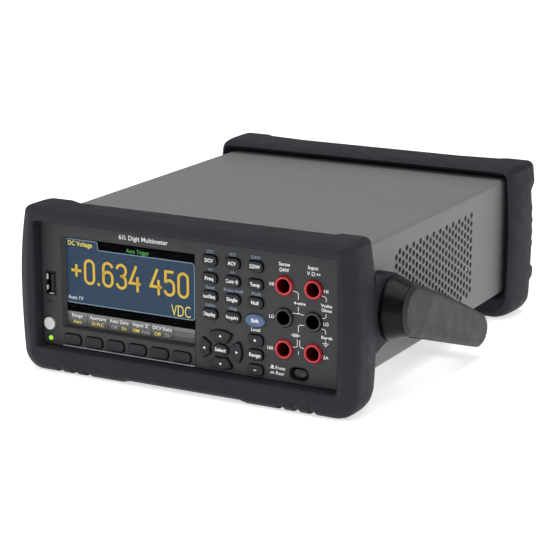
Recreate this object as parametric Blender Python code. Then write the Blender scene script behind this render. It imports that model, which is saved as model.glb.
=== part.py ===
"""Bench multimeter: a half-rack instrument in two rubber bumpers, with a swinging carry handle.

Run with blender --background --python part.py, or from Blender's text editor. It makes one object
for each piece. The frame has +Z up and the front panel facing -Y, and its origin is on the floor
under the middle of the instrument. Dimensions are in millimetres and become metres as a mesh is made.
"""

import math

import bmesh
import bpy

MM = 0.001

# Overall size: the bumpers set the height and depth, the handle's arms set the width.
FRONT, REAR = -141.25, 141.25
HEIGHT = 103.8
HALF_WIDTH = 130.6
PANEL_Y = FRONT + 8.5           # outer surface of the front panel
GAP = 0.3                       # clearance between neighbouring pieces
SLIDE_GAP = 0.35                # clearance around a button

# Cover: a folded sheet-metal sleeve around the chassis.
COVER_HALF_WIDTH = 104.4
COVER_BOTTOM, COVER_TOP = 17.5, 96.1
SHEET = 1.2
COVER_FOLD = 2.2
COVER_FRONT, COVER_REAR = PANEL_Y + 9.9, PANEL_Y + 262.0

# Bumpers.
BUMPER_BOW = 6.5                # how far the sides swell between the corners
BUMPER_MIDDLE_Z = 54.0
FOOT_INNER_X, FOOT_RAMP_X, FOOT_LIFT = 43.0, 38.0, 1.2
FRONT_OPENING_HALF_WIDTH = 103.5
FRONT_OPENING_BOTTOM, FRONT_OPENING_TOP = 15.5, 95.0
FRONT_BUMPER_REAR = PANEL_Y + 23.0
REAR_BUMPER_FRONT = PANEL_Y + 236.0
REAR_BUMPER_FACE = PANEL_Y + 267.0

# Handle: a bail that turns on two hubs.
PIVOT_Y, PIVOT_Z = PANEL_Y + 41.4, 57.3
EAR_X = 115.0
EAR_RADIUS = 20.6
HUB_ROOT_RADIUS, HUB_TIP_RADIUS = 19.2, 15.8
HUB_TIP_X = 128.2
ARM_INNER_X = 121.5
ARM_HEAD_RADIUS = 15.8
ARM_TIP_RADIUS = 11.0
ARM_TIP_Y, ARM_TIP_Z = PANEL_Y + 143.4, 19.2
GRIP_Y, GRIP_Z = PANEL_Y + 144.3, 14.1
GRIP_LENGTH_Y, GRIP_THICKNESS = 13.5, 5.2

# Front panel and what shows through it.
PANEL_HALF_WIDTH = 103.1
PANEL_BOTTOM, PANEL_TOP = 15.9, 94.6
PANEL_THICKNESS = 2.5
WINDOW = (-86.9, 5.1, 29.6, 84.6)       # left, right, bottom, top of the display opening
BUTTON_PROUD, BUTTON_REAR = 1.5, 6.0
KEY_TRAVEL_SPACE = 7.5                  # depth of the rubber mat behind the panel face
BOARD_DEPTH = 10.0

FUNCTION_COLUMNS = (16.6, 32.0, 47.3)
FUNCTION_ROWS = (83.1, 72.3, 61.4, 50.6)
FUNCTION_NAMES = (
    "dc_volts_key", "ac_volts_key", "resistance_key",
    "frequency_key", "continuity_key", "temperature_key",
    "run_stop_key", "single_key", "null_key",
    "display_key", "acquire_key", "shift_key",
)
RANGE_X = 47.2
RANGE_ROWS = {"range_up_key": 38.7, "range_key": 29.8, "range_down_key": 20.6}
NAV_X, NAV_Z = 23.9, 29.6
NAV_OUTER, NAV_INNER = (14.4, 12.0), (7.6, 5.0)
NAV_SPREAD = 33.0
NAV_NAMES = {"nav_right_key": 0, "nav_up_key": 90, "nav_left_key": 180, "nav_down_key": 270}
SOFTKEY_FIRST_X, SOFTKEY_LAST_X, SOFTKEY_Z, SOFTKEYS = -81.4, -3.1, 21.2, 6

JACK_COLUMNS = {"sense": 66.0, "input": 85.0}
JACK_ROWS = {"high": 74.0, "low": 54.9, "current": 35.9}
JACK_FLANGE_RADIUS, JACK_BARREL_RADIUS, JACK_BORE_RADIUS = 6.0, 5.3, 4.2
JACK_PROUD, JACK_BORE_DEPTH, JACK_REAR = 2.0, 14.0, 20.0

POWER_BUTTON = (-98.2, 29.2)
POWER_LED = (-98.2, 19.7)
USB_HOST = (-97.0, 55.0)
TERMINAL_SWITCH = (76.3, 22.2)

# Rear panel and what passes through it.
REAR_PANEL_Y = PANEL_Y + 250.0
INLET_X, INLET_Z = -73.0, 44.0
INLET_SIZE = (52.0, 30.0)
SOCKET_X, SOCKET_SIZE = -83.5, (24.6, 17.0)
DRAWER_X, DRAWER_SIZE = -57.5, (12.6, 23.0)
FUSE_HOLDER = (8.0, 72.0)
REAR_TERMINALS = (66.0, 62.0)
BNC_CENTRES = {"trigger_connector": (-28.0, 72.0), "complete_connector": (-28.0, 44.0)}
LAN_PORT, USB_DEVICE = (6.0, 42.0), (30.0, 42.0)


def clear_scene():
    for item in list(bpy.data.objects):
        bpy.data.objects.remove(item, do_unlink=True)


def paint(name, color, roughness, metallic=0.0):
    material = bpy.data.materials.new(name)
    material.use_nodes = True
    shader = material.node_tree.nodes["Principled BSDF"]
    shader.inputs["Base Color"].default_value = (*color, 1.0)
    shader.inputs["Roughness"].default_value = roughness
    shader.inputs["Metallic"].default_value = metallic
    material.diffuse_color = (*color, 1.0)
    return material


# ---- outlines: lists of (a, b) points, counter-clockwise ----

def rectangle(left, right, bottom, top):
    return [(left, bottom), (right, bottom), (right, top), (left, top)]


def arc(centre, radii, start, end, steps):
    """Points along an elliptical arc, angles in degrees."""
    points = []
    for step in range(steps + 1):
        angle = math.radians(start + (end - start) * step / steps)
        points.append((centre[0] + radii[0] * math.cos(angle), centre[1] + radii[1] * math.sin(angle)))
    return points


def circle(centre, radius, steps=24):
    return arc(centre, (radius, radius), 0.0, 360.0, steps)[:-1]


def rounded_rectangle(centre, size, radius, steps=3):
    points = []
    for start, side_x, side_z in ((270, 1, -1), (0, 1, 1), (90, -1, 1), (180, -1, -1)):
        corner = (centre[0] + side_x * (size[0] / 2 - radius), centre[1] + side_z * (size[1] / 2 - radius))
        points += arc(corner, (radius, radius), start, start + 90, steps)
    return points


def nav_segment(angle, grow=0.0):
    """One of the four arc-shaped keys around the select key."""
    inner = [radius - grow for radius in NAV_INNER]
    outer = [radius + grow for radius in NAV_OUTER]
    spread = NAV_SPREAD + math.degrees(grow / NAV_INNER[0])
    return (arc((0, 0), outer, angle - spread, angle + spread, 6)
            + arc((0, 0), inner, angle + spread, angle - spread, 4))


# ---- solids: bmesh bodies in millimetres ----

def loft(rings, closed=False):
    """Join rings of equal length into one body, capped at both ends or closed on itself."""
    body = bmesh.new()
    loops = [[body.verts.new(point) for point in ring] for ring in rings]
    following = loops[1:] + loops[:1] if closed else loops[1:]
    for near, far in zip(loops, following):
        for index in range(len(near)):
            after = (index + 1) % len(near)
            body.faces.new((near[index], near[after], far[after], far[index]))
    if not closed:
        body.faces.new(loops[0])
        body.faces.new(loops[-1])
    bmesh.ops.recalc_face_normals(body, faces=body.faces)
    return body


def on_axis(point, level, axis):
    """Put a flat outline point at a level along X, Y or Z."""
    a, b = point
    return {"X": (level, a, b), "Y": (a, level, b), "Z": (a, b, level)}[axis]


def prism(outline, low, high, axis="Y"):
    return loft([[on_axis(point, level, axis) for point in outline] for level in (low, high)])


def box(left, right, front, back, bottom, top):
    return prism(rectangle(left, right, bottom, top), front, back)


def turned(profile, axis="Y", steps=24, closed=False, centre=(0.0, 0.0)):
    """Turn (radius, level) points about an axis."""
    return loft([[on_axis(point, level, axis) for point in circle(centre, radius, steps)]
                 for radius, level in profile], closed)


def gather(solids):
    """Put separate solids into one mesh, for a cutter that makes several holes."""
    whole = bmesh.new()
    for solid in solids:
        mesh = bpy.data.meshes.new("gathered")
        solid.to_mesh(mesh)
        solid.free()
        whole.from_mesh(mesh)
        bpy.data.meshes.remove(mesh)
    return whole


def place(name, body, material, location=(0.0, 0.0, 0.0), smooth_angle=None):
    """Turn a body into a named object, in metres, at a location given in millimetres."""
    bmesh.ops.scale(body, vec=(MM, MM, MM), verts=body.verts)
    mesh = bpy.data.meshes.new(name)
    body.to_mesh(mesh)
    body.free()
    if material is not None:
        mesh.materials.append(material)
    if smooth_angle is not None:
        mesh.shade_smooth()
        mesh.set_sharp_from_angle(angle=math.radians(smooth_angle))
    thing = bpy.data.objects.new(name, mesh)
    thing.location = [value * MM for value in location]
    bpy.context.scene.collection.objects.link(thing)
    return thing


def apply_tool(target, body, operation):
    """Cut a body away from an object, or join it on."""
    tool = place(f"tool_{target.name}_{len(target.modifiers)}", body, None)
    tool.hide_render = True
    tool.display_type = "WIRE"
    change = target.modifiers.new(operation.lower(), "BOOLEAN")
    change.operation = operation
    change.object = tool
    change.solver = "EXACT"


def cut(target, *bodies):
    apply_tool(target, gather(bodies), "DIFFERENCE")


def join(target, *bodies):
    for body in bodies:
        apply_tool(target, body, "UNION")


# ---- bumpers and cover ----

def bumper_ring(y, half_width, bottom, top):
    """The bumper's outer outline at one depth: swelling sides, rounded corners, feet at the bottom."""
    def side(z):
        return half_width - BUMPER_BOW * ((z - BUMPER_MIDDLE_Z) / 50.0) ** 2

    low, high = bottom + 14.0, top - 6.5
    half = [(0.0, bottom + FOOT_LIFT), (FOOT_RAMP_X, bottom + FOOT_LIFT), (FOOT_INNER_X, bottom)]
    half += arc((side(low) - 14.0, low), (14.0, 14.0), 270, 360, 5)
    half += [(side(z), z) for z in (low + (high - low) * step / 5 for step in range(1, 5))]
    half += arc((side(high) - 7.0, high), (7.0, 6.5), 0, 90, 4)
    half.append((0.0, top))
    mirrored = [(-x, z) for x, z in reversed(half[1:-1])]
    return [(x, y, z) for x, z in half + mirrored]


def ear_outline():
    """The tab that backs a hub: wide at the bumper, round about the pivot, as (y, z) points."""
    top = (FRONT_BUMPER_REAR - 2.0, PIVOT_Z + 25.5)
    bottom = (FRONT_BUMPER_REAR - 2.0, PIVOT_Z - 24.5)
    return [bottom] + arc((PIVOT_Y, PIVOT_Z), (EAR_RADIUS, EAR_RADIUS), -105, 105, 12) + [top]


def make_front_bumper(material):
    stations = (
        (FRONT, 109.5, 3.2, 101.4),
        (FRONT + 3.0, 115.6, 0.9, 103.2),
        (FRONT + 7.5, 117.0, 0.0, HEIGHT),
        (FRONT + 20.0, 116.0, 0.0, HEIGHT),
        (FRONT_BUMPER_REAR, 114.6, 5.0, HEIGHT - 1.0),
    )
    bumper = place("front_bumper", loft([bumper_ring(*station) for station in stations]), material,
                   smooth_angle=30)
    for side in (1, -1):
        inner, outer = sorted((side * 103.0, side * EAR_X))
        join(bumper, prism(ear_outline(), inner, outer, "X"))
    pocket_half_width = COVER_HALF_WIDTH + GAP
    cut(bumper, box(-pocket_half_width, pocket_half_width, PANEL_Y + 3.6, PIVOT_Y + 30.0,
                    COVER_BOTTOM - GAP, COVER_TOP + GAP))
    cut(bumper, box(-FRONT_OPENING_HALF_WIDTH, FRONT_OPENING_HALF_WIDTH, FRONT - 5.0, PANEL_Y + 5.0,
                    FRONT_OPENING_BOTTOM, FRONT_OPENING_TOP))
    return bumper


def make_rear_bumper(material):
    stations = (
        (REAR_BUMPER_FRONT, 112.6, 4.0, HEIGHT - 1.6),
        (REAR_BUMPER_FRONT + 4.0, 114.6, 0.0, HEIGHT),
        (REAR_BUMPER_FACE - 5.0, 114.6, 0.0, HEIGHT),
        (REAR_BUMPER_FACE, 112.6, 3.0, HEIGHT - 1.5),
    )
    bumper = place("rear_bumper", loft([bumper_ring(*station) for station in stations]), material,
                   smooth_angle=30)
    for side in (1, -1):
        inner, outer = sorted((side * 88.0, side * 108.0))
        join(bumper, box(inner, outer, REAR_BUMPER_FACE - 4.0, REAR, 86.0, 101.0))
        inner, outer = sorted((side * 96.0, side * 110.0))
        join(bumper, box(inner, outer, REAR_BUMPER_FACE - 4.0, REAR - 1.5, 23.0, 31.0))
    pocket_half_width = COVER_HALF_WIDTH + GAP
    cut(bumper, box(-pocket_half_width, pocket_half_width, REAR_BUMPER_FRONT - 5.0, COVER_REAR + GAP,
                    COVER_BOTTOM - GAP, COVER_TOP + GAP))
    cut(bumper, box(-99.0, 99.0, COVER_REAR - 5.0, REAR + 5.0, 21.0, 92.0))
    return bumper


def make_cover(material):
    """A folded sleeve whose long edges are chamfered by the fold."""
    def ring(y, inset):
        half, low, high = COVER_HALF_WIDTH - inset, COVER_BOTTOM + inset, COVER_TOP - inset
        fold = COVER_FOLD - 0.4 * inset
        return [(x, y, z) for x, z in rounded_rectangle((0.0, (low + high) / 2), (2 * half, high - low), fold, 1)]

    rings = [ring(COVER_FRONT, 0.0), ring(COVER_REAR, 0.0), ring(COVER_REAR, SHEET), ring(COVER_FRONT, SHEET)]
    return place("cover_sleeve", loft(rings, closed=True), material)


def make_chassis(material):
    """A U-shaped tray inside the cover, chamfered along its folds as the cover is."""
    half = COVER_HALF_WIDTH - SHEET - GAP - 0.2
    floor = COVER_BOTTOM + SHEET + GAP + 0.2
    wall_top = floor + 26.0
    fold = COVER_FOLD + 0.4
    inner_half, inner_floor, inner_fold = half - SHEET, floor + SHEET, fold - 0.7
    right = [(half - fold, floor), (half, floor + fold), (half, wall_top), (inner_half, wall_top),
             (inner_half, inner_floor + inner_fold), (inner_half - inner_fold, inner_floor)]
    left = [(-x, z) for x, z in reversed(right)]
    return place("chassis_tray", prism(right + left, PANEL_Y + 13.0, REAR_PANEL_Y - 1.0), material)


# ---- handle ----

def arm_outline():
    """A leaf: a large head round the pivot, a small round tip, and straight tangents between."""
    run_y, run_z = ARM_TIP_Y - PIVOT_Y, ARM_TIP_Z - PIVOT_Z
    slope = math.degrees(math.atan2(run_z, run_y))
    taper = math.degrees(math.asin((ARM_HEAD_RADIUS - ARM_TIP_RADIUS) / math.hypot(run_y, run_z)))
    tip = arc((ARM_TIP_Y, ARM_TIP_Z), (ARM_TIP_RADIUS,) * 2, slope - 90 + taper, slope + 90 - taper, 6)
    head = arc((PIVOT_Y, PIVOT_Z), (ARM_HEAD_RADIUS,) * 2, slope + 90 - taper, slope + 270 + taper, 12)
    return tip + head


def make_handle(material):
    """Two leaf-shaped arms and the grip between them, one moulding, with its origin on the pivot axis."""
    outline = [(y - PIVOT_Y, z - PIVOT_Z) for y, z in arm_outline()]
    handle = place("carry_handle", prism(outline, ARM_INNER_X, HALF_WIDTH, "X"), material,
                   (0.0, PIVOT_Y, PIVOT_Z), 35)
    left_arm = prism(arm_outline(), -HALF_WIDTH, -ARM_INNER_X, "X")
    grip_outline = rounded_rectangle((GRIP_Y, GRIP_Z), (GRIP_LENGTH_Y, GRIP_THICKNESS),
                                     GRIP_THICKNESS / 2 - 0.2, 4)
    grip = prism(grip_outline, -ARM_INNER_X - 4.0, ARM_INNER_X + 4.0, "X")
    join(handle, grip, left_arm)
    seat_radius = HUB_ROOT_RADIUS - 0.8
    for side in (1, -1):
        low, high = sorted((side * (ARM_INNER_X - 3.0), side * (HUB_TIP_X + GAP)))
        cut(handle, turned(((seat_radius, low), (seat_radius, high)), "X", 24, False, (PIVOT_Y, PIVOT_Z)))
    return handle


def make_hub(name, side, material):
    """A tapered boss that the handle's arm turns on."""
    profile = [(HUB_ROOT_RADIUS, side * (EAR_X + GAP)), (HUB_ROOT_RADIUS - 0.6, side * (ARM_INNER_X - 3.5)),
               (HUB_TIP_RADIUS + 0.8, side * (ARM_INNER_X + 2.0)), (HUB_TIP_RADIUS, side * HUB_TIP_X)]
    return place(name, turned(profile, "X", 24), material, (0.0, PIVOT_Y, PIVOT_Z), 35)


# ---- front panel ----

def key_shapes():
    """Every button as name: (centre, outline function of a growth, rear depth)."""
    shapes = {}

    def add(name, centre, size, radius, steps=3, rear=BUTTON_REAR):
        def outline(grow=0.0):
            grown = (size[0] + 2 * grow, size[1] + 2 * grow)
            return rounded_rectangle((0.0, 0.0), grown, radius + grow, steps)
        shapes[name] = (centre, outline, rear)

    for index, name in enumerate(FUNCTION_NAMES):
        centre = (FUNCTION_COLUMNS[index % 3], FUNCTION_ROWS[index // 3])
        if name == "shift_key":
            add(name, centre, (13.2, 7.8), 3.8, 5)
        else:
            add(name, centre, (10.3, 6.6), 2.2)
    for name, z in RANGE_ROWS.items():
        add(name, (RANGE_X, z), (10.4, 6.8), 2.6)
    add("select_key", (NAV_X, NAV_Z), (10.6, 7.0), 3.4, 5)
    for name, angle in NAV_NAMES.items():
        shapes[name] = ((NAV_X, NAV_Z), lambda grow=0.0, angle=angle: nav_segment(angle, grow), BUTTON_REAR)
    pitch = (SOFTKEY_LAST_X - SOFTKEY_FIRST_X) / (SOFTKEYS - 1)
    for index in range(SOFTKEYS):
        add(f"softkey_{index + 1}", (SOFTKEY_FIRST_X + index * pitch, SOFTKEY_Z), (12.6, 6.6), 1.2)
    add("power_button", POWER_BUTTON, (8.4, 8.4), 4.15, 5)
    add("terminal_switch", TERMINAL_SWITCH, (9.0, 5.6), 2.7, 4)
    return shapes


def make_keys(shapes, materials):
    colors = {"shift_key": "light blue button", "power_button": "white button",
              "terminal_switch": "black button"}
    for name, (centre, outline, rear) in shapes.items():
        proud = -0.6 if name == "terminal_switch" else BUTTON_PROUD
        place(name, prism(outline(), -proud, rear), materials[colors.get(name, "grey button")],
              (centre[0], PANEL_Y, centre[1]), 35)


def through(outline, centre, low=-1.0, high=PANEL_THICKNESS + 1.0):
    """A cutter through the front panel."""
    moved = [(a + centre[0], b + centre[1]) for a, b in outline]
    return prism(moved, PANEL_Y + low, PANEL_Y + high)


def jack_centres():
    return {f"{column}_{row}_jack": (x, z) for column, x in JACK_COLUMNS.items() for row, z in JACK_ROWS.items()}


def make_front_panel(shapes, material):
    middle = (PANEL_BOTTOM + PANEL_TOP) / 2
    outline = rounded_rectangle((0.0, middle), (2 * PANEL_HALF_WIDTH, PANEL_TOP - PANEL_BOTTOM), 2.0, 2)
    panel = place("front_panel", prism(outline, PANEL_Y, PANEL_Y + PANEL_THICKNESS), material)
    holes = [through(outline_of(SLIDE_GAP), centre) for centre, outline_of, _ in shapes.values()]
    barrel = circle((0.0, 0.0), JACK_BARREL_RADIUS + GAP)
    holes += [through(barrel, centre) for centre in jack_centres().values()]
    holes.append(through(rectangle(*WINDOW), (0.0, 0.0)))
    holes.append(through(rounded_rectangle((0, 0), (8.0, 15.4), 0.6, 1), USB_HOST))
    holes.append(through(circle((0.0, 0.0), 1.9, 12), POWER_LED))
    cut(panel, *holes)
    return panel


def make_display(glass, screen):
    left, right, bottom, top = WINDOW
    border = 1.6
    place("display_window", box(left - border, right + border, PANEL_Y + 2.8, PANEL_Y + 3.8,
                                bottom - border, top + border), glass)
    place("display_module", box(left - border, right + border, PANEL_Y + 4.1, PANEL_Y + 9.4,
                                bottom - border, top + border), screen)


def make_keypad_mat(material):
    """One rubber sheet under the soft keys and the keypad, an L shape."""
    outline = [(-90.0, 17.3), (54.6, 17.3), (54.6, 88.5), (7.6, 88.5), (7.6, 25.6), (-90.0, 25.6)]
    place("keypad_mat", prism(outline, PANEL_Y + KEY_TRAVEL_SPACE, PANEL_Y + BOARD_DEPTH - GAP), material)


def make_front_board(material):
    board = place("front_board", box(-101.0, 101.0, PANEL_Y + BOARD_DEPTH, PANEL_Y + BOARD_DEPTH + 1.6,
                                     22.6, 92.4), material)
    holes = [prism(circle(centre, JACK_BARREL_RADIUS + GAP), PANEL_Y + 5.0, PANEL_Y + 15.0)
             for centre in jack_centres().values()]
    x, z = USB_HOST
    holes.append(box(x - 4.2, x + 4.2, PANEL_Y + 5.0, PANEL_Y + 15.0, z - 7.9, z + 7.9))
    cut(board, *holes)


def make_jacks(materials):
    """Shrouded safety sockets: a flange on the panel, a barrel behind it and a blind bore."""
    profile = [(JACK_BORE_RADIUS, JACK_BORE_DEPTH), (JACK_BORE_RADIUS, -JACK_PROUD),
               (JACK_FLANGE_RADIUS - 0.5, -JACK_PROUD), (JACK_FLANGE_RADIUS, 0.6 - JACK_PROUD),
               (JACK_FLANGE_RADIUS, -GAP), (JACK_BARREL_RADIUS, -GAP), (JACK_BARREL_RADIUS, JACK_REAR)]
    for name, (x, z) in jack_centres().items():
        color = "black jack" if "_low_" in name else "red jack"
        place(name, turned(profile, "Y", 20), materials[color], (x, PANEL_Y, z), 35)


def cup(size, wall, depth, radius=0.6):
    """A rectangular socket with its mouth at level 0 and its floor at depth, which may be negative."""
    inner = rounded_rectangle((0.0, 0.0), size, radius, 1)
    outer = rounded_rectangle((0.0, 0.0), (size[0] + 2 * wall, size[1] + 2 * wall), radius, 1)
    floor = depth + math.copysign(wall, depth)
    levels = ((inner, depth), (inner, 0.0), (outer, 0.0), (outer, floor))
    return loft([[on_axis(point, level, "Y") for point in outline] for outline, level in levels])


# ---- rear panel ----

def make_rear(materials):
    zone = COVER_HALF_WIDTH - SHEET - GAP
    panel = place("rear_panel", box(-zone, zone, REAR_PANEL_Y, REAR_PANEL_Y + 1.5,
                                    COVER_BOTTOM + SHEET + GAP + 2.5, COVER_TOP - SHEET - GAP - 2.5),
                  materials["rear panel metal"])

    def hole(outline):
        return prism(outline, REAR_PANEL_Y - 2.0, REAR_PANEL_Y + 4.0)

    def grown(centre, size):
        half_x, half_z = size[0] / 2 + GAP, size[1] / 2 + GAP
        return rectangle(centre[0] - half_x, centre[0] + half_x, centre[1] - half_z, centre[1] + half_z)

    lan_size, usb_size, terminal_size = (16.0, 13.6), (12.4, 12.8), (50.0, 46.0)
    holes = [hole(grown((INLET_X, INLET_Z), INLET_SIZE)), hole(grown(LAN_PORT, lan_size)),
             hole(grown(USB_DEVICE, usb_size)), hole(grown(REAR_TERMINALS, terminal_size)),
             hole(circle(FUSE_HOLDER, 8.0 + GAP))]
    holes += [hole(circle(centre, 6.0 + GAP)) for centre in BNC_CENTRES.values()]
    cut(panel, *holes)

    # power inlet with its socket and a fuse drawer beside it
    inlet_face = REAR_PANEL_Y + 5.0
    outline = rounded_rectangle((INLET_X, INLET_Z), INLET_SIZE, 2.0, 2)
    inlet = place("power_inlet", prism(outline, REAR_PANEL_Y - 19.0, inlet_face),
                  materials["black moulding"])
    socket = rounded_rectangle((SOCKET_X, INLET_Z), SOCKET_SIZE, 3.0, 2)
    cut(inlet, prism(socket, inlet_face - 15.0, inlet_face + 2.0))
    cut(inlet, box(DRAWER_X - DRAWER_SIZE[0] / 2, DRAWER_X + DRAWER_SIZE[0] / 2,
                   inlet_face - 21.0, inlet_face + 2.0,
                   INLET_Z - DRAWER_SIZE[1] / 2, INLET_Z + DRAWER_SIZE[1] / 2))
    slack = SLIDE_GAP
    place("fuse_drawer", box(slack - DRAWER_SIZE[0] / 2, DRAWER_SIZE[0] / 2 - slack, -20.5, 1.2,
                             slack - DRAWER_SIZE[1] / 2, DRAWER_SIZE[1] / 2 - slack),
          materials["grey moulding"], (DRAWER_X, inlet_face, INLET_Z))

    # current fuse: a holder with a bayonet cap that turns
    x, z = FUSE_HOLDER
    holder = [(5.6, -6.0), (5.6, 5.0), (8.0, 5.0), (8.0, -24.0)]
    place("fuse_holder", turned(holder, "Y", 24), materials["black moulding"], (x, REAR_PANEL_Y, z), 35)
    cap = place("fuse_cap", turned([(5.2, -5.0), (5.2, 5.4), (7.6, 5.4), (7.6, 8.0), (6.8, 8.8)], "Y", 24),
                materials["grey moulding"], (x, REAR_PANEL_Y, z), 35)
    cut(cap, box(x - 5.5, x + 5.5, REAR_PANEL_Y + 7.2, REAR_PANEL_Y + 12.0, z - 0.8, z + 0.8))

    # second set of input terminals, five sockets in one block
    x, z = REAR_TERMINALS
    block = place("rear_terminal_block",
                  prism(rounded_rectangle((x, z), terminal_size, 2.0, 2), REAR_PANEL_Y - 20.0,
                        REAR_PANEL_Y + 3.5), materials["black moulding"])
    sockets = [(x + dx, z + dz) for dx in (-9.5, 9.5) for dz in (-9.5, 9.5)]
    cut(block, *[prism(circle(centre, 4.2, 16), REAR_PANEL_Y - 12.0, REAR_PANEL_Y + 6.0)
                 for centre in sockets])

    # round and square connectors
    for name, (x, z) in BNC_CENTRES.items():
        profile = [(4.2, 5.0), (4.2, 12.0), (4.9, 12.0), (4.9, 2.6), (7.0, 2.6), (7.0, 1.8), (6.0, 1.8),
                   (6.0, -8.0)]
        place(name, turned(profile, "Y", 20), materials["plated brass"], (x, REAR_PANEL_Y, z), 35)
    for name, (x, z), size in (("lan_port", LAN_PORT, lan_size), ("usb_device_port", USB_DEVICE, usb_size)):
        wall = 1.4
        inner_size = (size[0] - 2 * wall, size[1] - 2 * wall)
        place(name, cup(inner_size, wall, -12.0), materials["port shell"], (x, REAR_PANEL_Y + 2.4, z))


# ---- inside ----

def make_internals(materials):
    place("main_board", box(-97.0, 97.0, PANEL_Y + 26.0, PANEL_Y + 228.0, 27.0, 28.6),
          materials["circuit board"])
    place("mains_transformer", box(-90.0, -38.0, PANEL_Y + 160.0, PANEL_Y + 222.0, 29.0, 78.0),
          materials["transformer steel"])


def main():
    clear_scene()
    materials = {
        "bumper rubber": paint("bumper rubber", (0.045, 0.047, 0.052), 0.75),
        "cover paint": paint("cover paint", (0.19, 0.19, 0.19), 0.55, 0.1),
        "chassis steel": paint("chassis steel", (0.62, 0.62, 0.60), 0.4, 1.0),
        "panel plastic": paint("panel plastic", (0.055, 0.056, 0.058), 0.6),
        "grey button": paint("grey button", (0.075, 0.078, 0.083), 0.6),
        "light blue button": paint("light blue button", (0.28, 0.42, 0.62), 0.5),
        "white button": paint("white button", (0.75, 0.75, 0.73), 0.4),
        "black button": paint("black button", (0.03, 0.03, 0.032), 0.5),
        "display glass": paint("display glass", (0.04, 0.05, 0.06), 0.08),
        "display screen": paint("display screen", (0.06, 0.14, 0.25), 0.3),
        "keypad rubber": paint("keypad rubber", (0.25, 0.26, 0.27), 0.8),
        "circuit board": paint("circuit board", (0.02, 0.16, 0.06), 0.4),
        "red jack": paint("red jack", (0.45, 0.01, 0.03), 0.3),
        "black jack": paint("black jack", (0.012, 0.012, 0.013), 0.3),
        "port shell": paint("port shell", (0.55, 0.55, 0.55), 0.3, 1.0),
        "green light": paint("green light", (0.4, 0.9, 0.1), 0.3),
        "hub plastic": paint("hub plastic", (0.012, 0.013, 0.015), 0.25),
        "handle plastic": paint("handle plastic", (0.10, 0.10, 0.105), 0.55),
        "rear panel metal": paint("rear panel metal", (0.22, 0.22, 0.22), 0.5, 0.1),
        "black moulding": paint("black moulding", (0.02, 0.02, 0.021), 0.45),
        "grey moulding": paint("grey moulding", (0.10, 0.10, 0.10), 0.5),
        "plated brass": paint("plated brass", (0.72, 0.70, 0.62), 0.25, 1.0),
        "transformer steel": paint("transformer steel", (0.15, 0.14, 0.13), 0.5, 0.8),
    }
    make_front_bumper(materials["bumper rubber"])
    make_rear_bumper(materials["bumper rubber"])
    make_cover(materials["cover paint"])
    make_chassis(materials["chassis steel"])
    make_handle(materials["handle plastic"])
    make_hub("handle_hub_right", 1, materials["hub plastic"])
    make_hub("handle_hub_left", -1, materials["hub plastic"])
    shapes = key_shapes()
    make_front_panel(shapes, materials["panel plastic"])
    make_keys(shapes, materials)
    make_display(materials["display glass"], materials["display screen"])
    make_keypad_mat(materials["keypad rubber"])
    make_front_board(materials["circuit board"])
    make_jacks(materials)
    place("usb_host_port", cup((5.4, 12.8), 0.9, 11.0), materials["port shell"],
          (USB_HOST[0], PANEL_Y - 0.2, USB_HOST[1]))
    place("power_led", turned([(1.0, -0.5), (1.5, 0.0), (1.5, 6.0)], "Y", 12), materials["green light"],
          (POWER_LED[0], PANEL_Y, POWER_LED[1]), 35)
    make_rear(materials)
    make_internals(materials)


main()
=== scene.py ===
"""The looks of the bench multimeter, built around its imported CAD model.

Pieces are made in millimetres in the panel's own frame: x to the right, depth back from the panel's
front surface, z up. place() turns them into metres in the model's frame.
"""

import math

import bmesh
import bpy
from mathutils import Matrix, Vector
from mathutils.geometry import delaunay_2d_cdt


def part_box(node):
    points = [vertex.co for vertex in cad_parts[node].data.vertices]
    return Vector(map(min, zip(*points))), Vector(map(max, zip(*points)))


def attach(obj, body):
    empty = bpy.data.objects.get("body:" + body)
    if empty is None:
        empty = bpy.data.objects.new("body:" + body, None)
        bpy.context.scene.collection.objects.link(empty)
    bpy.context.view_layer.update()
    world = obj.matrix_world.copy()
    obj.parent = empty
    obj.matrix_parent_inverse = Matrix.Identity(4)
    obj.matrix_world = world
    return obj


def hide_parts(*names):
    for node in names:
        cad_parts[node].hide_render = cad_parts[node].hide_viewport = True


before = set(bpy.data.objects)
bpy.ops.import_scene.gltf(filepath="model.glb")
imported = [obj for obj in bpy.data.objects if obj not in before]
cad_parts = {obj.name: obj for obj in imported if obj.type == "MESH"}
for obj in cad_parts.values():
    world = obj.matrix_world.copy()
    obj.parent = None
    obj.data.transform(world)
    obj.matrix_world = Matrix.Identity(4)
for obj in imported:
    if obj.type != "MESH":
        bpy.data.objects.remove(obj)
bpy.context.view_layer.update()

MM = 0.001
PANEL_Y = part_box("front_panel")[0].y / MM       # the panel's front surface, in millimetres


# ---- camera, light and floor ----

CAMERA_PLACE = (0.58176, -1.09555, 0.36527)     # metres
CAMERA_DOWN, CAMERA_TURN = 14.67, 28.416        # degrees
CAMERA_LENS, CAMERA_SENSOR = 128.08, 36.0       # millimetres
FLOOR_REACH = 6.0                               # metres from the middle to each edge


def add_camera():
    camera = bpy.data.cameras.new("camera")
    camera.sensor_width = CAMERA_SENSOR
    camera.lens = CAMERA_LENS
    camera.clip_start, camera.clip_end = 0.05, 20.0
    eye = bpy.data.objects.new("camera", camera)
    eye.location = CAMERA_PLACE
    eye.rotation_euler = (math.radians(90.0 - CAMERA_DOWN), 0.0, math.radians(CAMERA_TURN))
    bpy.context.scene.collection.objects.link(eye)
    bpy.context.scene.camera = eye


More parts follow.
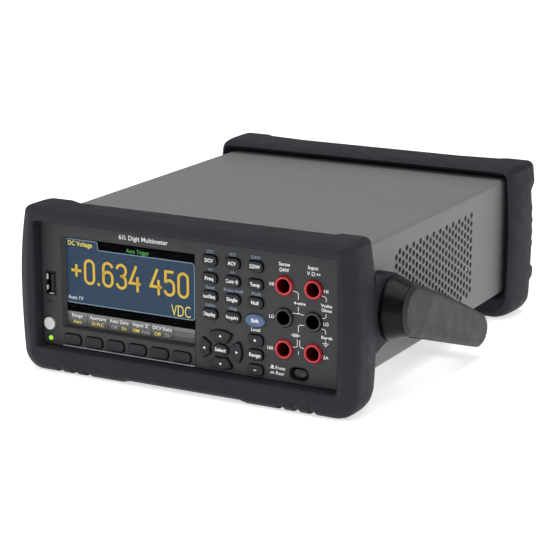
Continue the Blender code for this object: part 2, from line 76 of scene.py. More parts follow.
def add_area_light(name, place_at, target, size, power):
    light = bpy.data.lights.new(name, "AREA")
    light.shape = "RECTANGLE"
    light.size, light.size_y = size
    light.energy = power
    lamp = bpy.data.objects.new(name, light)
    lamp.location = place_at
    lamp.rotation_euler = (Vector(target) - Vector(place_at)).to_track_quat("-Z", "Y").to_euler()
    bpy.context.scene.collection.objects.link(lamp)


def add_studio():
    world = bpy.data.worlds.new("studio")
    world.use_nodes = True
    world.node_tree.nodes["Background"].inputs["Color"].default_value = (1.0, 1.0, 1.0, 1.0)
    world.node_tree.nodes["Background"].inputs["Strength"].default_value = 0.38
    bpy.context.scene.world = world
    middle = (0.0, 0.0, 0.05)
    add_area_light("top_softbox", (0.1, -0.1, 1.3), middle, (1.3, 1.3), 11.0)
    add_area_light("left_softbox", (-1.2, -1.0, 0.7), middle, (0.9, 0.9), 8.0)
    add_area_light("right_softbox", (1.3, -0.5, 0.6), middle, (0.8, 0.8), 2.8)
    bpy.context.scene.view_settings.view_transform = "Standard"
    floor_body = bmesh.new()
    outline = rectangle(-FLOOR_REACH, FLOOR_REACH, -FLOOR_REACH, FLOOR_REACH)
    floor_body.faces.new([floor_body.verts.new((x, y, 0.0)) for x, y in outline])
    mesh = bpy.data.meshes.new("floor")
    floor_body.to_mesh(mesh)
    floor_body.free()
    floor = bpy.data.objects.new("floor", mesh)
    bpy.context.scene.collection.objects.link(floor)
    mesh.materials.append(finish("floor_paper", (0.90, 0.90, 0.90), 0.8, mottle=0.01, grain=0.00002,
                                 glow=0.68, shine=0.1))


# ---- materials ----

def finish(name, color, roughness, metallic=0.0, mottle=0.10, mottle_scale=45.0, grain=0.00004,
           grain_scale=2600.0, spread=0.08, scuff=0.0, scuff_color=(0.3, 0.3, 0.3), coat=0.0,
           glow=None, stretch=(1.0, 1.0, 1.0), shine=0.5):
    """A painted, moulded or metal surface: mottled colour, scuffs, uneven gloss and a fine grain."""
    material = bpy.data.materials.new(name)
    material.use_nodes = True
    material.diffuse_color = (*color, 1.0)
    nodes, links = material.node_tree.nodes, material.node_tree.links
    shader = nodes["Principled BSDF"]
    shader.inputs["Metallic"].default_value = metallic
    shader.inputs["Specular IOR Level"].default_value = shine
    shader.inputs["Coat Weight"].default_value = coat
    shader.inputs["Coat Roughness"].default_value = 0.15
    place_node = nodes.new("ShaderNodeTexCoord")
    mapping = nodes.new("ShaderNodeMapping")
    mapping.inputs["Scale"].default_value = stretch
    links.new(place_node.outputs["Object"], mapping.inputs["Vector"])

    def noise_node(scale, detail, rough=0.5):
        node = nodes.new("ShaderNodeTexNoise")
        node.inputs["Scale"].default_value = scale
        node.inputs["Detail"].default_value = detail
        node.inputs["Roughness"].default_value = rough
        links.new(mapping.outputs["Vector"], node.inputs["Vector"])
        return node.outputs["Fac"]

    def remap(value, low, high, new_low, new_high):
        node = nodes.new("ShaderNodeMapRange")
        for key, number in (("From Min", low), ("From Max", high), ("To Min", new_low), ("To Max", new_high)):
            node.inputs[key].default_value = number
        links.new(value, node.inputs["Value"])
        return node.outputs["Result"]

    def mix_color(factor, first, second):
        node = nodes.new("ShaderNodeMix")
        node.data_type = "RGBA"
        links.new(factor, node.inputs["Factor"])
        for socket, value in ((node.inputs[6], first), (node.inputs[7], second)):
            if isinstance(value, bpy.types.NodeSocket):
                links.new(value, socket)
            else:
                socket.default_value = (*value, 1.0)
        return node.outputs[2]

    dark = [channel * (1.0 - mottle) for channel in color]
    light = [min(1.0, channel * (1.0 + mottle)) for channel in color]
    cloud = noise_node(mottle_scale, 4.0)
    base = mix_color(remap(cloud, 0.3, 0.7, 0.0, 1.0), dark, light)
    if scuff:
        marks = remap(noise_node(160.0, 6.0, 0.7), 0.60, 0.74, 0.0, scuff)
        base = mix_color(marks, base, scuff_color)
    links.new(base, shader.inputs["Base Color"])
    gloss = remap(noise_node(mottle_scale * 2.3, 5.0, 0.6), 0.3, 0.7,
                  max(0.02, roughness - spread), min(1.0, roughness + spread))
    links.new(gloss, shader.inputs["Roughness"])
    if grain:
        bump = nodes.new("ShaderNodeBump")
        bump.inputs["Strength"].default_value = 1.0
        bump.inputs["Distance"].default_value = grain
        links.new(noise_node(grain_scale, 3.0, 0.6), bump.inputs["Height"])
        links.new(bump.outputs["Normal"], shader.inputs["Normal"])
    # glow makes the surface give light of its own: an evenly bright floor, and painted light on the print and
    # the trim
    if glow:
        links.new(base, shader.inputs["Emission Color"])
        shader.inputs["Emission Strength"].default_value = glow
    return material


def lit(name, color, glow):
    """A part of the lit screen: matt, with a fine mottle, and a glow of its own."""
    return finish(name, color, 0.6, mottle=0.03, mottle_scale=400.0, grain=0.000002, glow=glow, shine=0.0)


def clear_window(name):
    """The clear window over the screen: mostly see-through, with a soft gloss."""
    material = finish(name, (0.005, 0.006, 0.007), 0.08, mottle=0.05, grain=0.000001, spread=0.01, shine=0.08)
    material.node_tree.nodes["Principled BSDF"].inputs["Alpha"].default_value = 0.05
    return material


def make_materials():
    return {
        "rubber": finish("bumper_rubber", (0.0155, 0.016, 0.0215), 0.62, mottle=0.10, scuff=0.10,
                         scuff_color=(0.034, 0.034, 0.040), grain=0.00006, grain_scale=1500.0, shine=0.22),
        "cover": finish("cover_paint", (0.165, 0.165, 0.164), 0.50, mottle=0.02, mottle_scale=18.0,
                        grain=0.00005, grain_scale=1900.0, scuff=0.06, scuff_color=(0.19, 0.19, 0.19),
                        spread=0.03, shine=0.45),
        "liner": finish("vent_liner_steel", (0.032, 0.032, 0.033), 0.6, 0.0, mottle=0.10, shine=0.15),
        "panel": finish("panel_plastic", (0.040, 0.041, 0.044), 0.55, mottle=0.05, grain=0.00003, shine=0.25),
        "bezel": finish("bezel_plastic", (0.022, 0.0225, 0.025), 0.42, mottle=0.06, grain=0.00002, shine=0.3),
        # silver trim with a faint glow of its own: painted highlight
        "trim": finish("silver_trim_painted_glow", (0.48, 0.49, 0.52), 0.45, 0.0, mottle=0.06, grain=0.00001, glow=0.06),
        "key": finish("key_rubber", (0.018, 0.0195, 0.023), 0.50, mottle=0.08, grain=0.00002, shine=0.25),
        # darker copies of the key materials for the keys' sides: painted shade
        "key_painted_side_shade": finish("key_side_painted_shade", (0.006, 0.006, 0.007), 0.60, mottle=0.10, grain=0.00002,
                           shine=0.08),
        "key_blue": finish("shift_key_rubber", (0.078, 0.125, 0.232), 0.40, mottle=0.05, grain=0.00002,
                           shine=0.4),
        "key_blue_painted_side_shade": finish("shift_key_side_painted_shade", (0.08, 0.12, 0.20), 0.50, mottle=0.05, grain=0.00002,
                                shine=0.2),
        "key_white": finish("power_button_plastic", (0.66, 0.65, 0.64), 0.35, mottle=0.03, grain=0.00001),
        "key_white_painted_side_shade": finish("power_button_side_painted_shade", (0.25, 0.25, 0.25), 0.40, mottle=0.03, grain=0.00001),
        "key_black": finish("switch_plastic", (0.036, 0.037, 0.040), 0.40, mottle=0.10, grain=0.00001,
                            shine=0.3),
        # the print glows a little of its own: painted light on top of its colour
        "white_print_painted_glow": finish("white_print_painted_glow", (0.74, 0.74, 0.74), 0.55, mottle=0.04, grain=0.00001, glow=0.12),
        "blue_print_painted_glow": finish("blue_print_painted_glow", (0.21, 0.26, 0.37), 0.55, mottle=0.05, grain=0.00001, glow=0.10),
        "pale_print": finish("pale_plastic", (0.70, 0.70, 0.68), 0.45, mottle=0.05, grain=0.00001),
        "dark_print": finish("dark_print", (0.012, 0.012, 0.013), 0.55, mottle=0.08, grain=0.00001,
                             shine=0.1),
        "jack_red": finish("jack_red", (0.37, 0.006, 0.016), 0.30, mottle=0.08, grain=0.00001, coat=0.25,
                           shine=0.4),
        # a lighter copy of the jack plastic for the collar's rounded lip: painted highlight
        "jack_red_edge": finish("jack_red_edge", (0.56, 0.035, 0.045), 0.25, mottle=0.06, grain=0.00001,
                                coat=0.3, shine=0.5),
        # a darker copy for the inside of the bore: painted shade
        "jack_red_bore": finish("jack_red_bore", (0.10, 0.001, 0.004), 0.40, mottle=0.08, grain=0.00001,
                                shine=0.15),
        # the black jacks likewise: a lighter lip (painted highlight) and a darker bore (painted shade)
        "jack_black_edge": finish("jack_black_edge", (0.045, 0.046, 0.048), 0.30, mottle=0.08,
                                  grain=0.00001, shine=0.4),
        "jack_black_bore": finish("jack_black_bore", (0.003, 0.003, 0.003), 0.45, mottle=0.10,
                                  grain=0.00001, shine=0.1),
        "jack_black": finish("jack_black", (0.008, 0.008, 0.009), 0.28, mottle=0.10, grain=0.00001,
                             coat=0.2, shine=0.35),
        "hub": finish("hub_plastic", (0.0022, 0.0024, 0.0032), 0.30, mottle=0.10, grain=0.00001, shine=0.16),
        "handle": finish("handle_plastic", (0.0215, 0.0215, 0.0255), 0.50, mottle=0.05, grain=0.00005,
                         grain_scale=1700.0, scuff=0.05, scuff_color=(0.05, 0.05, 0.055), shine=0.25),
        "moulding": finish("black_moulding", (0.012, 0.012, 0.013), 0.42, mottle=0.12, grain=0.00003,
                           shine=0.3),
        "moulding_grey": finish("grey_moulding", (0.060, 0.060, 0.064), 0.50, mottle=0.08, grain=0.00003,
                                shine=0.3),
        "steel": finish("tinned_steel", (0.55, 0.54, 0.52), 0.30, 1.0, mottle=0.10, mottle_scale=120.0,
                        grain=0.000015, stretch=(1.0, 6.0, 1.0)),
        "plated": finish("nickel_plate", (0.62, 0.60, 0.56), 0.24, 1.0, mottle=0.06, mottle_scale=150.0,
                         grain=0.000008),
        "gold": finish("gold_contact", (0.42, 0.30, 0.12), 0.30, 1.0, mottle=0.08, mottle_scale=200.0,
                       grain=0.000008),
        "rear_panel": finish("rear_panel_paint", (0.155, 0.155, 0.154), 0.48, mottle=0.03,
                             mottle_scale=20.0, grain=0.00004, grain_scale=1900.0, spread=0.03),
        "board": finish("solder_mask", (0.012, 0.085, 0.034), 0.35, mottle=0.15, mottle_scale=90.0, coat=0.3),
        "mat": finish("silicone_mat", (0.17, 0.175, 0.18), 0.75, mottle=0.08),
        # chassis steel painted near black so that the inside seen through the vents reads dark: painted shade
        # inside the case
        "chassis": finish("chassis_steel_painted_shade", (0.050, 0.050, 0.052), 0.55, 0.3, mottle=0.14, mottle_scale=70.0,
                          grain=0.00002, spread=0.12, shine=0.2),
        "core": finish("transformer_varnish", (0.10, 0.085, 0.07), 0.45, 0.6, mottle=0.2, mottle_scale=80.0),
        "window": clear_window("display_window_clear"),
        "lamp_green": finish("link_lamp", (0.05, 0.22, 0.06), 0.35, mottle=0.05, grain=0.00001),
        "screen_black": finish("screen_black", (0.0025, 0.0025, 0.003), 0.5, mottle=0.2, grain=0.000002,
                               shine=0.0),
        "screen_blue": lit("screen_blue", (0.030, 0.050, 0.082), 0.60),
        "screen_rim": lit("screen_rim", (0.22, 0.29, 0.36), 0.5),
        "screen_yellow": lit("screen_yellow", (0.50, 0.335, 0.058), 0.55),
        "screen_yellow_text": lit("screen_yellow_text", (0.72, 0.60, 0.10), 0.5),
        "screen_edge": lit("screen_edge", (0.035, 0.045, 0.045), 0.3),
        "screen_dim": lit("screen_dim", (0.34, 0.34, 0.34), 0.5),
        "screen_white": lit("screen_white", (0.66, 0.68, 0.69), 0.5),
        "screen_green": lit("screen_green", (0.09, 0.36, 0.09), 0.5),
        "screen_grey": lit("screen_grey", (0.078, 0.078, 0.080), 0.5),
        "screen_grey_middle": lit("screen_grey_middle", (0.110, 0.110, 0.112), 0.5),
        "screen_grey_top": lit("screen_grey_top", (0.17, 0.17, 0.175), 0.5),
        "led": finish("green_led", (0.30, 0.62, 0.03), 0.30, mottle=0.06, grain=0.0, glow=0.8),
    }


# ---- outlines, as (x, z) points in millimetres, counter-clockwise ----

def arc(centre, radii, start, end, steps):
    points = []
    for step in range(steps + 1):
        angle = math.radians(start + (end - start) * step / steps)
        points.append((centre[0] + radii[0] * math.cos(angle), centre[1] + radii[1] * math.sin(angle)))
    return points


def circle(centre, radius, steps=32):
    return arc(centre, (radius, radius), 0.0, 360.0, steps)[:-1]


def ellipse(centre, radii, steps=40):
    return arc(centre, radii, 0.0, 360.0, steps)[:-1]


def rectangle(left, right, bottom, top):
    return [(left, bottom), (right, bottom), (right, top), (left, top)]


def rounded(centre, size, radius, steps=5):
    radius = max(radius, 0.05)
    points = []
    for start, side_x, side_z in ((270, 1, -1), (0, 1, 1), (90, -1, 1), (180, -1, -1)):
        corner = (centre[0] + side_x * (size[0] / 2 - radius), centre[1] + side_z * (size[1] / 2 - radius))
        points += arc(corner, (radius, radius), start, start + 90, steps)
    return points


def opening(centre, size, radius, steps=5, clearance=0.0, follow=0.0):
    """A rounded opening as a function of its growth; follow is how much the corners grow along."""
    def outline(grow):
        across, up = (length + clearance + 2 * grow for length in size)
        return rounded(centre, (across, up), radius + follow * grow, steps)
    return outline


def shifted(outline, dx, dz):
    return [(x + dx, z + dz) for x, z in outline]


# ---- bodies ----

def rings_body(rings, closed=False):
    """Join rings of 3-D points into one body, capped at both ends or closed on itself."""
    body = bmesh.new()
    loops = [[body.verts.new(point) for point in ring] for ring in rings]
    following = loops[1:] + loops[:1] if closed else loops[1:]
    for near, far in zip(loops, following):
        for index in range(len(near)):
            after = (index + 1) % len(near)
            body.faces.new((near[index], near[after], far[after], far[index]))
    if not closed:
        body.faces.new(loops[0])
        body.faces.new(loops[-1])
    bmesh.ops.recalc_face_normals(body, faces=body.faces)
    return body


def on_axis(point, level, axis):
    a, b = point
    return {"X": (level, a, b), "Y": (a, level, b), "Z": (a, b, level)}[axis]


def layered(layers, axis="Y", closed=False):
    """A body from (outline, level) layers with equal numbers of points."""
    return rings_body([[on_axis(p, level, axis) for p in outline] for outline, level in layers], closed)


def prism(outline, low, high, axis="Y"):
    return layered(((outline, low), (outline, high)), axis)


def turned(profile, axis="Y", steps=40, centre=(0.0, 0.0)):
    """A body of revolution from (radius, level) pairs."""
    return layered([(circle(centre, radius, steps), level) for radius, level in profile], axis)


def plate(outline, holes, front, back, chamfer=0.25, rim=0.0, axis="Y"):
    """A plate with chamfered holes. outline and holes are functions of how far they grow outwards."""
    body = bmesh.new()
    inward = 1 if front < back else -1

    def ring(points, level):
        return [body.verts.new(on_axis(p, level, axis)) for p in points]

    def wall(first, second):
        for index in range(len(first)):
            after = (index + 1) % len(first)
            body.faces.new((first[index], first[after], second[after], second[index]))

    def face_with_holes(rings):
        flat, edges = [], []
        for loop in rings:
            start = len(flat)
            flat += loop
            edges += [(start + i, start + (i + 1) % len(loop)) for i in range(len(loop))]
        drop = {"X": (1, 2), "Y": (0, 2), "Z": (0, 1)}[axis]
        points = [Vector((v.co[drop[0]], v.co[drop[1]])) for v in flat]
        made, _, faces, origins, _, _ = delaunay_2d_cdt(points, edges, [], 0, 1e-7)
        for face in faces:
            centre = sum((made[i] for i in face), Vector((0, 0))) / len(face)
            if inside(centre, points[:len(rings[0])]):
                start = len(rings[0])
                blocked = False
                for loop in rings[1:]:
                    blocked = blocked or inside(centre, points[start:start + len(loop)])
                    start += len(loop)
                if not blocked:
                    body.faces.new([flat[origins[i][0]] for i in face])

    fronts, backs = [], []
    for number, shape in enumerate([outline] + list(holes)):
        edge = rim if number == 0 else chamfer
        sign = -1 if number == 0 else 1
        top = ring(shape(sign * edge), front)
        middle = ring(shape(0.0), front + edge * inward) if edge else top
        bottom = ring(shape(0.0), back)
        if edge:
            wall(top, middle)
        wall(middle, bottom)
        fronts.append(top)
        backs.append(bottom)
    face_with_holes(fronts)
    face_with_holes(backs)
    bmesh.ops.recalc_face_normals(body, faces=body.faces)
    return body


def inside(point, polygon):
    """Whether a flat point lies in a polygon."""
    crossing = False
    before = polygon[-1]
    for corner in polygon:
        if (corner[1] > point[1]) != (before[1] > point[1]):
            slope = (before[0] - corner[0]) / (before[1] - corner[1])
            if point[0] < corner[0] + (point[1] - corner[1]) * slope:
                crossing = not crossing
        before = corner
    return crossing


def merge(bodies):
    whole = bmesh.new()
    for body in bodies:
        mesh = bpy.data.meshes.new("merged")
        body.to_mesh(mesh)
        body.free()
        whole.from_mesh(mesh)
        bpy.data.meshes.remove(mesh)
    return whole


def place(name, body, material, cad_body="root", replaces=(), smooth=35.0):
    """Make a piece from a body in the panel's frame, smooth it, and let it ride on a CAD body."""
    bmesh.ops.translate(body, vec=(0.0, PANEL_Y, 0.0), verts=body.verts)
    bmesh.ops.scale(body, vec=(MM, MM, MM), verts=body.verts)
    mesh = bpy.data.meshes.new(name)
    body.to_mesh(mesh)
    body.free()
    materials = material if isinstance(material, (list, tuple)) else [material]
    for one in materials:
        mesh.materials.append(one)
    mesh.shade_smooth()
    mesh.set_sharp_from_angle(angle=math.radians(smooth))
    piece = bpy.data.objects.new(name, mesh)
    bpy.context.scene.collection.objects.link(piece)
    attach(piece, cad_body)
    if replaces:
        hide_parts(*replaces)
    return piece


def text_body(text, height, centre, depth, width=None, thickness=0.06, align="CENTER", weight=0.0,
              rear=False):
    """Raised lettering that faces -Y (or +Y at the rear): height is that of a capital letter."""
    curve = bpy.data.curves.new("lettering", "FONT")
    curve.body = text
    curve.size = height / 0.70
    curve.align_x = align
    curve.extrude = thickness / 2
    curve.offset = weight
    curve.resolution_u = 3
    holder = bpy.data.objects.new("lettering", curve)
    bpy.context.scene.collection.objects.link(holder)
    bpy.context.view_layer.update()
    mesh = bpy.data.meshes.new_from_object(holder)
    bpy.data.objects.remove(holder)
    bpy.data.curves.remove(curve)
    body = bmesh.new()
    body.from_mesh(mesh)
    bpy.data.meshes.remove(mesh)
    bmesh.ops.remove_doubles(body, verts=body.verts, dist=0.0005)
    if width:
        across = [vertex.co.x for vertex in body.verts]
        squeeze = width / (max(across) - min(across))
        bmesh.ops.scale(body, vec=(squeeze, 1.0, 1.0), verts=body.verts)
        if align == "CENTER":
            middle = (max(across) + min(across)) / 2 * squeeze
            bmesh.ops.translate(body, vec=(-middle, 0.0, 0.0), verts=body.verts)
    bmesh.ops.translate(body, vec=(0.0, -height / 2, 0.0), verts=body.verts)
    turn = Matrix.Rotation(math.radians(90.0), 4, "X")
    if rear:
        turn = Matrix.Rotation(math.radians(180.0), 4, "Z") @ turn
    shift = Matrix.Translation((centre[0], depth, centre[1]))
    bmesh.ops.transform(body, matrix=shift @ turn, verts=body.verts)
    return body


def ribbon(points, width, depth, thickness=0.06, closed=False):
    """A flat stroke of even width along a line of (x, z) points, with mitred joints."""
    count = len(points)
    left, right = [], []
    for index, point in enumerate(points):
        here = Vector(point)
        before = Vector(points[index - 1]) if index or closed else None
        after = Vector(points[(index + 1) % count]) if index < count - 1 or closed else None
        into = (here - before).normalized() if before else None
        out = (after - here).normalized() if after else None
        along = ((into or out) + (out or into)).normalized()
        normal = Vector((-along.y, along.x))
        straight = into or out
        lean = max(0.35, normal.dot(Vector((-straight.y, straight.x))))
        left.append(here + normal * (width / 2 / lean))
        right.append(here - normal * (width / 2 / lean))
    levels = (depth, depth + thickness)
    sections = [[(a.x, levels[0], a.y), (b.x, levels[0], b.y), (b.x, levels[1], b.y), (a.x, levels[1], a.y)]
                for a, b in zip(left, right)]
    return rings_body(sections, closed)


def corners(node):
    """A node's lowest and highest corner, in millimetres."""
    return [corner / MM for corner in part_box(node)]


def depths(node):
    """The depths of a node's front and rear face, in the panel's frame."""
    low, high = corners(node)
    return low.y - PANEL_Y, high.y - PANEL_Y


def node_frame(node):
    """A node's middle (x, z), its size (x, z) and its front depth, in the panel's frame."""
    low, high = corners(node)
    return ((low.x + high.x) / 2, (low.z + high.z) / 2), (high.x - low.x, high.z - low.z), low.y - PANEL_Y


# ---- bumpers ----

FOOT_NOTCHES = (67.0, 77.0, 87.5)
NOTCH_DEPTH, NOTCH_TOP, NOTCH_MOUTH = 1.9, 1.3, 2.5
BOW_MIDDLE = 54.0              # height at which the bumpers are widest
SIDE_STEPS = 48
RIB_FIRST_Z, RIB_PITCH, RIB_WIDTH, RIB_COUNT = 46.0, 8.2, 4.0, 4


def foot_line(bottom, lift, corner_x, notched):
    """Bottom edge from the middle out to the corner: a raised middle, a ramp, and the notched foot."""
    points = [(x, bottom + lift) for x in (0.0, 9.5, 19.0, 28.5, 38.0)]
    points += [(40.5, bottom + lift * 0.5), (43.0, bottom), (53.0, bottom)]
    depth = NOTCH_DEPTH if notched else 0.0
    for x in FOOT_NOTCHES:
        points += [(x - NOTCH_MOUTH, bottom), (x - NOTCH_TOP, bottom + depth),
                   (x + NOTCH_TOP, bottom + depth), (x + NOTCH_MOUTH, bottom)]
    points.append((max(91.5, corner_x - 6.0), bottom))
    return points


def outer_ring(y, half_width, bottom, top, notched=True, corner=13.0, bow=5.0, bulge=None, drop=1.1):
    """The bumper's outline at one depth, as 3-D points; bulge pushes points back by (x, z)."""
    def side(z):
        swell = bow if z > BOW_MIDDLE else bow * 0.45
        return half_width - swell * ((z - BOW_MIDDLE) / 50.0) ** 2

    low, high = bottom + corner, top - 4.4
    corner_x = side(low) - corner
    half = foot_line(bottom, 1.2, corner_x, notched)
    half += arc((corner_x, low), (corner, corner), 272, 360, 10)
    half += [(side(z), z) for z in (low + (high - low) * step / SIDE_STEPS for step in range(1, SIDE_STEPS))]
    half += arc((side(high) - 4.8, high), (4.8, 4.4), 0, 90, 9)
    half += [(x, top - (drop if x < 88.5 else 0.0)) for x in (93.0, 88.0, 60.0, 30.0, 0.0)]
    left = [(-x, z) for x, z in reversed(half[1:-1])]
    return [(x, y + (bulge(abs(x), z) if bulge else 0.0), z) for x, z in half + left]


def inner_ring(y, half_width, bottom, top, radius):
    """The bumper's opening at one depth, with as many points as the outer outline."""
    half = [(x * (half_width - radius) / 92.0, bottom) for x, _ in foot_line(0.0, 0.0, 98.0, False)]
    half = [(min(x, half_width - radius - 0.02 * (len(half) - i)), z) for i, (x, z) in enumerate(half)]
    half += arc((half_width - radius, bottom + radius), (radius, radius), 272, 360, 10)
    low, high = bottom + radius, top - radius
    half += [(half_width, low + (high - low) * step / SIDE_STEPS) for step in range(1, SIDE_STEPS)]
    half += arc((half_width - radius, high), (radius, radius), 0, 90, 9)
    half += [(x * (half_width - radius) / 96.0, top) for x in (93.0, 88.0, 60.0, 30.0, 0.0)]
    left = [(-x, z) for x, z in reversed(half[1:-1])]
    return [(x, y, z) for x, z in half + left]


def ear_shape(grow=0.0):
    """The tab behind a hub, as (y, z) points: wide at the bumper and round about the pivot."""
    radius = 20.6 + grow
    pivot_y, pivot_z = hub_centre()
    tab = arc((pivot_y, pivot_z), (radius, radius), -105, 105, 28)
    return [(19.0, pivot_z - 24.3 - grow)] + tab + [(19.0, pivot_z + 25.3 + grow)]


def hub_centre():
    low, high = corners("handle_hub_right")
    return (low.y + high.y) / 2 - PANEL_Y, (low.z + high.z) / 2


def make_front_bumper(materials):
    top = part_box("front_bumper")[1].z / MM
    rings = [
        inner_ring(3.4, 103.3, 15.4, 95.2, 2.2),
        inner_ring(-6.6, 103.5, 15.5, 95.0, 2.0),
        inner_ring(-7.7, 103.9, 15.1, 95.4, 2.4),
        inner_ring(-8.3, 104.8, 14.2, 96.3, 3.2),
        outer_ring(-8.48, 108.3, 4.4, top - 4.4, corner=9.5, bow=4.0),
        outer_ring(-8.34, 109.1, 3.7, top - 3.7, corner=10.2, bow=4.2),
        outer_ring(-7.9, 110.0, 3.1, top - 3.0, corner=10.8, bow=4.4),
        outer_ring(-5.7, 114.3, 1.4, top - 1.1, corner=12.3, bow=4.8),
        outer_ring(-4.0, 116.0, 0.5, top - 0.35),
        outer_ring(-1.8, 116.7, 0.1, top - 0.05),
        outer_ring(2.0, 116.9, 0.0, top),
        outer_ring(11.0, 116.8, 0.0, top),
        outer_ring(16.5, 116.2, 0.4, top),
        outer_ring(20.2, 115.4, 2.6, top - 0.3),
        outer_ring(22.2, 114.3, 5.2, top - 1.1),
        outer_ring(22.9, 112.6, 7.0, top - 2.4),
        inner_ring(22.9, 105.8, 16.4, 97.3, 3.4),
        inner_ring(22.0, 105.0, 17.0, 96.6, 2.8),
        inner_ring(4.2, 104.8, 17.1, 96.5, 2.6),
    ]
    place("front_bumper_rubber", rings_body(rings, closed=True), materials["rubber"],
          replaces=["front_bumper"], smooth=38)
    for side, name in ((1, "right"), (-1, "left")):
        layers = [(ear_shape(0.0), side * 104.75), (ear_shape(0.0), side * 112.6),
                  (ear_shape(-0.3), side * 114.2), (ear_shape(-1.2), side * 114.95)]
        place(f"bumper_ear_{name}", layered(layers, "X"), materials["rubber"])


def rear_bulge(x, z):
    """How far the rear face stands back: upper corner blocks, a small lower pad and ribs between."""
    def step(value, edge, width):
        return min(1.0, max(0.0, (value - edge) / width + 0.5))

    corner = 6.8 * step(x, 88.0, 4.0) * step(z, 87.0, 4.5)
    pad = 4.6 * step(x, 92.0, 2.5) * step(z, 23.5, 2.0) * (1.0 - step(z, 31.5, 1.2))
    rib = 0.0
    for number in range(RIB_COUNT):
        start = RIB_FIRST_Z + RIB_PITCH * number
        rib += 1.3 * step(z, start, 1.4) * (1.0 - step(z, start + RIB_WIDTH, 1.4))
    return corner + pad + rib * step(x, 99.0, 2.0)


def make_rear_bumper(materials):
    high = corners("rear_bumper")[1]
    top, face = high.z, high.y - PANEL_Y - 7.0

    def bulging(share):
        return lambda x, z: share * rear_bulge(x, z)

    def outer(back, half_width, bottom, top_z, share, corner=13.0, bow=3.4):
        return outer_ring(face - back, half_width, bottom, top_z, False, corner, bow, bulging(share), 0.0)

    rings = [
        inner_ring(face - 5.2, 99.0, 21.0, 92.0, 4.0),
        inner_ring(face - 1.6, 99.1, 20.9, 92.1, 4.1),
        inner_ring(face - 0.5, 99.6, 20.4, 92.6, 4.6),
        outer(0.0, 106.0, 7.0, top - 5.5, 1.0, 9.0, 2.4),
        outer(0.05, 112.4, 3.0, top - 2.0, 1.0, 11.5, 3.0),
        outer(0.9, 114.2, 1.2, top - 0.6, 1.0, 12.5),
        outer(2.6, 115.1, 0.3, top - 0.1, 0.98),
        outer(6.0, 115.5, 0.0, top, 0.80),
        outer(11.0, 115.5, 0.0, top, 0.30),
        outer(17.0, 115.2, 0.0, top, 0.0),
        outer(24.0, 114.4, 0.0, top - 0.1, 0.0),
        outer(29.5, 113.2, 0.5, top - 0.5, 0.0),
        outer(32.6, 112.0, 2.0, top - 1.3, 0.0),
        outer(33.8, 110.6, 4.0, top - 2.6, 0.0),
        inner_ring(face - 32.4, 108.4, 13.8, 100.0, 5.2),
        inner_ring(face - 27.0, 105.8, 16.2, 97.5, 3.4),
        inner_ring(face - 25.5, 105.0, 17.0, 96.6, 2.8),
        inner_ring(face - 5.2, 104.8, 17.1, 96.5, 2.6),
    ]
    place("rear_bumper_rubber", rings_body(rings, closed=True), materials["rubber"],
          replaces=["rear_bumper"], smooth=38)


# ---- cover with its perforated sides ----

VENT_FIRST_Y, VENT_PITCH_Y, VENT_COLUMNS = 69.4, 4.96, 24
VENT_TOP_Z, VENT_PITCH_Z, VENT_ROWS = 82.45, 5.47, 10
VENT_RADIUS = 2.05
SHEET, FOLD = 1.2, 2.2         # thickness of the cover's metal and radius of its long edges
LINER = (61.4, 191.4, 47.0, 91.0)       # front, back, bottom and top of the inner perforated sheets
LINER_OUTER, LINER_INNER = 4.6, 5.4     # how far inside the cover's side their faces are


def vent_centres():
    """A staggered field of round holes, as (y, z) points."""
    for column in range(VENT_COLUMNS):
        drop = VENT_PITCH_Z / 2 if column % 2 == 0 else 0.0
        for row in range(VENT_ROWS):
            yield VENT_FIRST_Y + column * VENT_PITCH_Y, VENT_TOP_Z - drop - row * VENT_PITCH_Z


def hole_shape(centre, radius, steps=12):
    return lambda grow: circle(centre, radius + grow, steps)


def make_cover(materials):
    low, high = corners("cover_sleeve")
    front, back = depths("cover_sleeve")
    half, bottom, top = high.x, low.z, high.z

    def folded(sign, radius, inset):
        """The folded edge at the top (sign 1) or bottom (-1) of the right side, as (x, z) points."""
        level = top - inset if sign > 0 else bottom + inset
        middle = (half - inset - radius, level - sign * radius)
        return arc(middle, (radius, sign * radius), 0, 90, 3)

    def skin(sign):
        """The section of the top or bottom sheet, from one side to the other and back inside."""
        outer, inner = folded(sign, FOLD, 0.0), folded(sign, FOLD - SHEET * 0.6, SHEET)
        across = [edge + [(-x, z) for x, z in reversed(edge)] for edge in (outer, inner)]
        return across[0] + list(reversed(across[1]))

    def wall_outline(grow):
        return rectangle(front - grow, back + grow, bottom + FOLD - grow, top - FOLD + grow)

    skins = [layered(((skin(sign), front), (skin(sign), back)), "Y") for sign in (1, -1)]
    vents = [hole_shape(centre, VENT_RADIUS) for centre in vent_centres()]
    walls = [plate(wall_outline, vents, side * half, side * (half - SHEET), 0.0, 0.0, "X")
             for side in (1, -1)]
    whole = merge(skins + walls)
    bmesh.ops.remove_doubles(whole, verts=whole.verts, dist=0.001)
    place("cover_sheet_metal", whole, materials["cover"], replaces=["cover_sleeve"],
          smooth=50)

    # a second perforated sheet inside, a little out of step with the outer one
    behind = [hole_shape((y + 1.4, z + 1.1), VENT_RADIUS * 0.8, 8) for y, z in vent_centres() if z > 50.0]

    def liner_outline(grow):
        return rectangle(LINER[0] - grow, LINER[1] + grow, LINER[2] - grow, LINER[3] + grow)

    for side, name in ((1, "right"), (-1, "left")):
        body = plate(liner_outline, behind, side * (half - LINER_OUTER), side * (half - LINER_INNER),
                     0.0, 0.0, "X")
        place(f"vent_liner_{name}", body, materials["liner"], smooth=50)


# ---- handle and hubs ----

ARM_TIP, ARM_TIP_RADIUS, ARM_HEAD_RADIUS = (143.4, 19.2), 11.0, 15.8
ARM_INNER_X, ARM_CROWN = 121.5, 1.04
GRIP_MIDDLE, GRIP_SIZE, GRIP_CORNER = (144.3, 14.1), (13.5, 5.2), 2.4


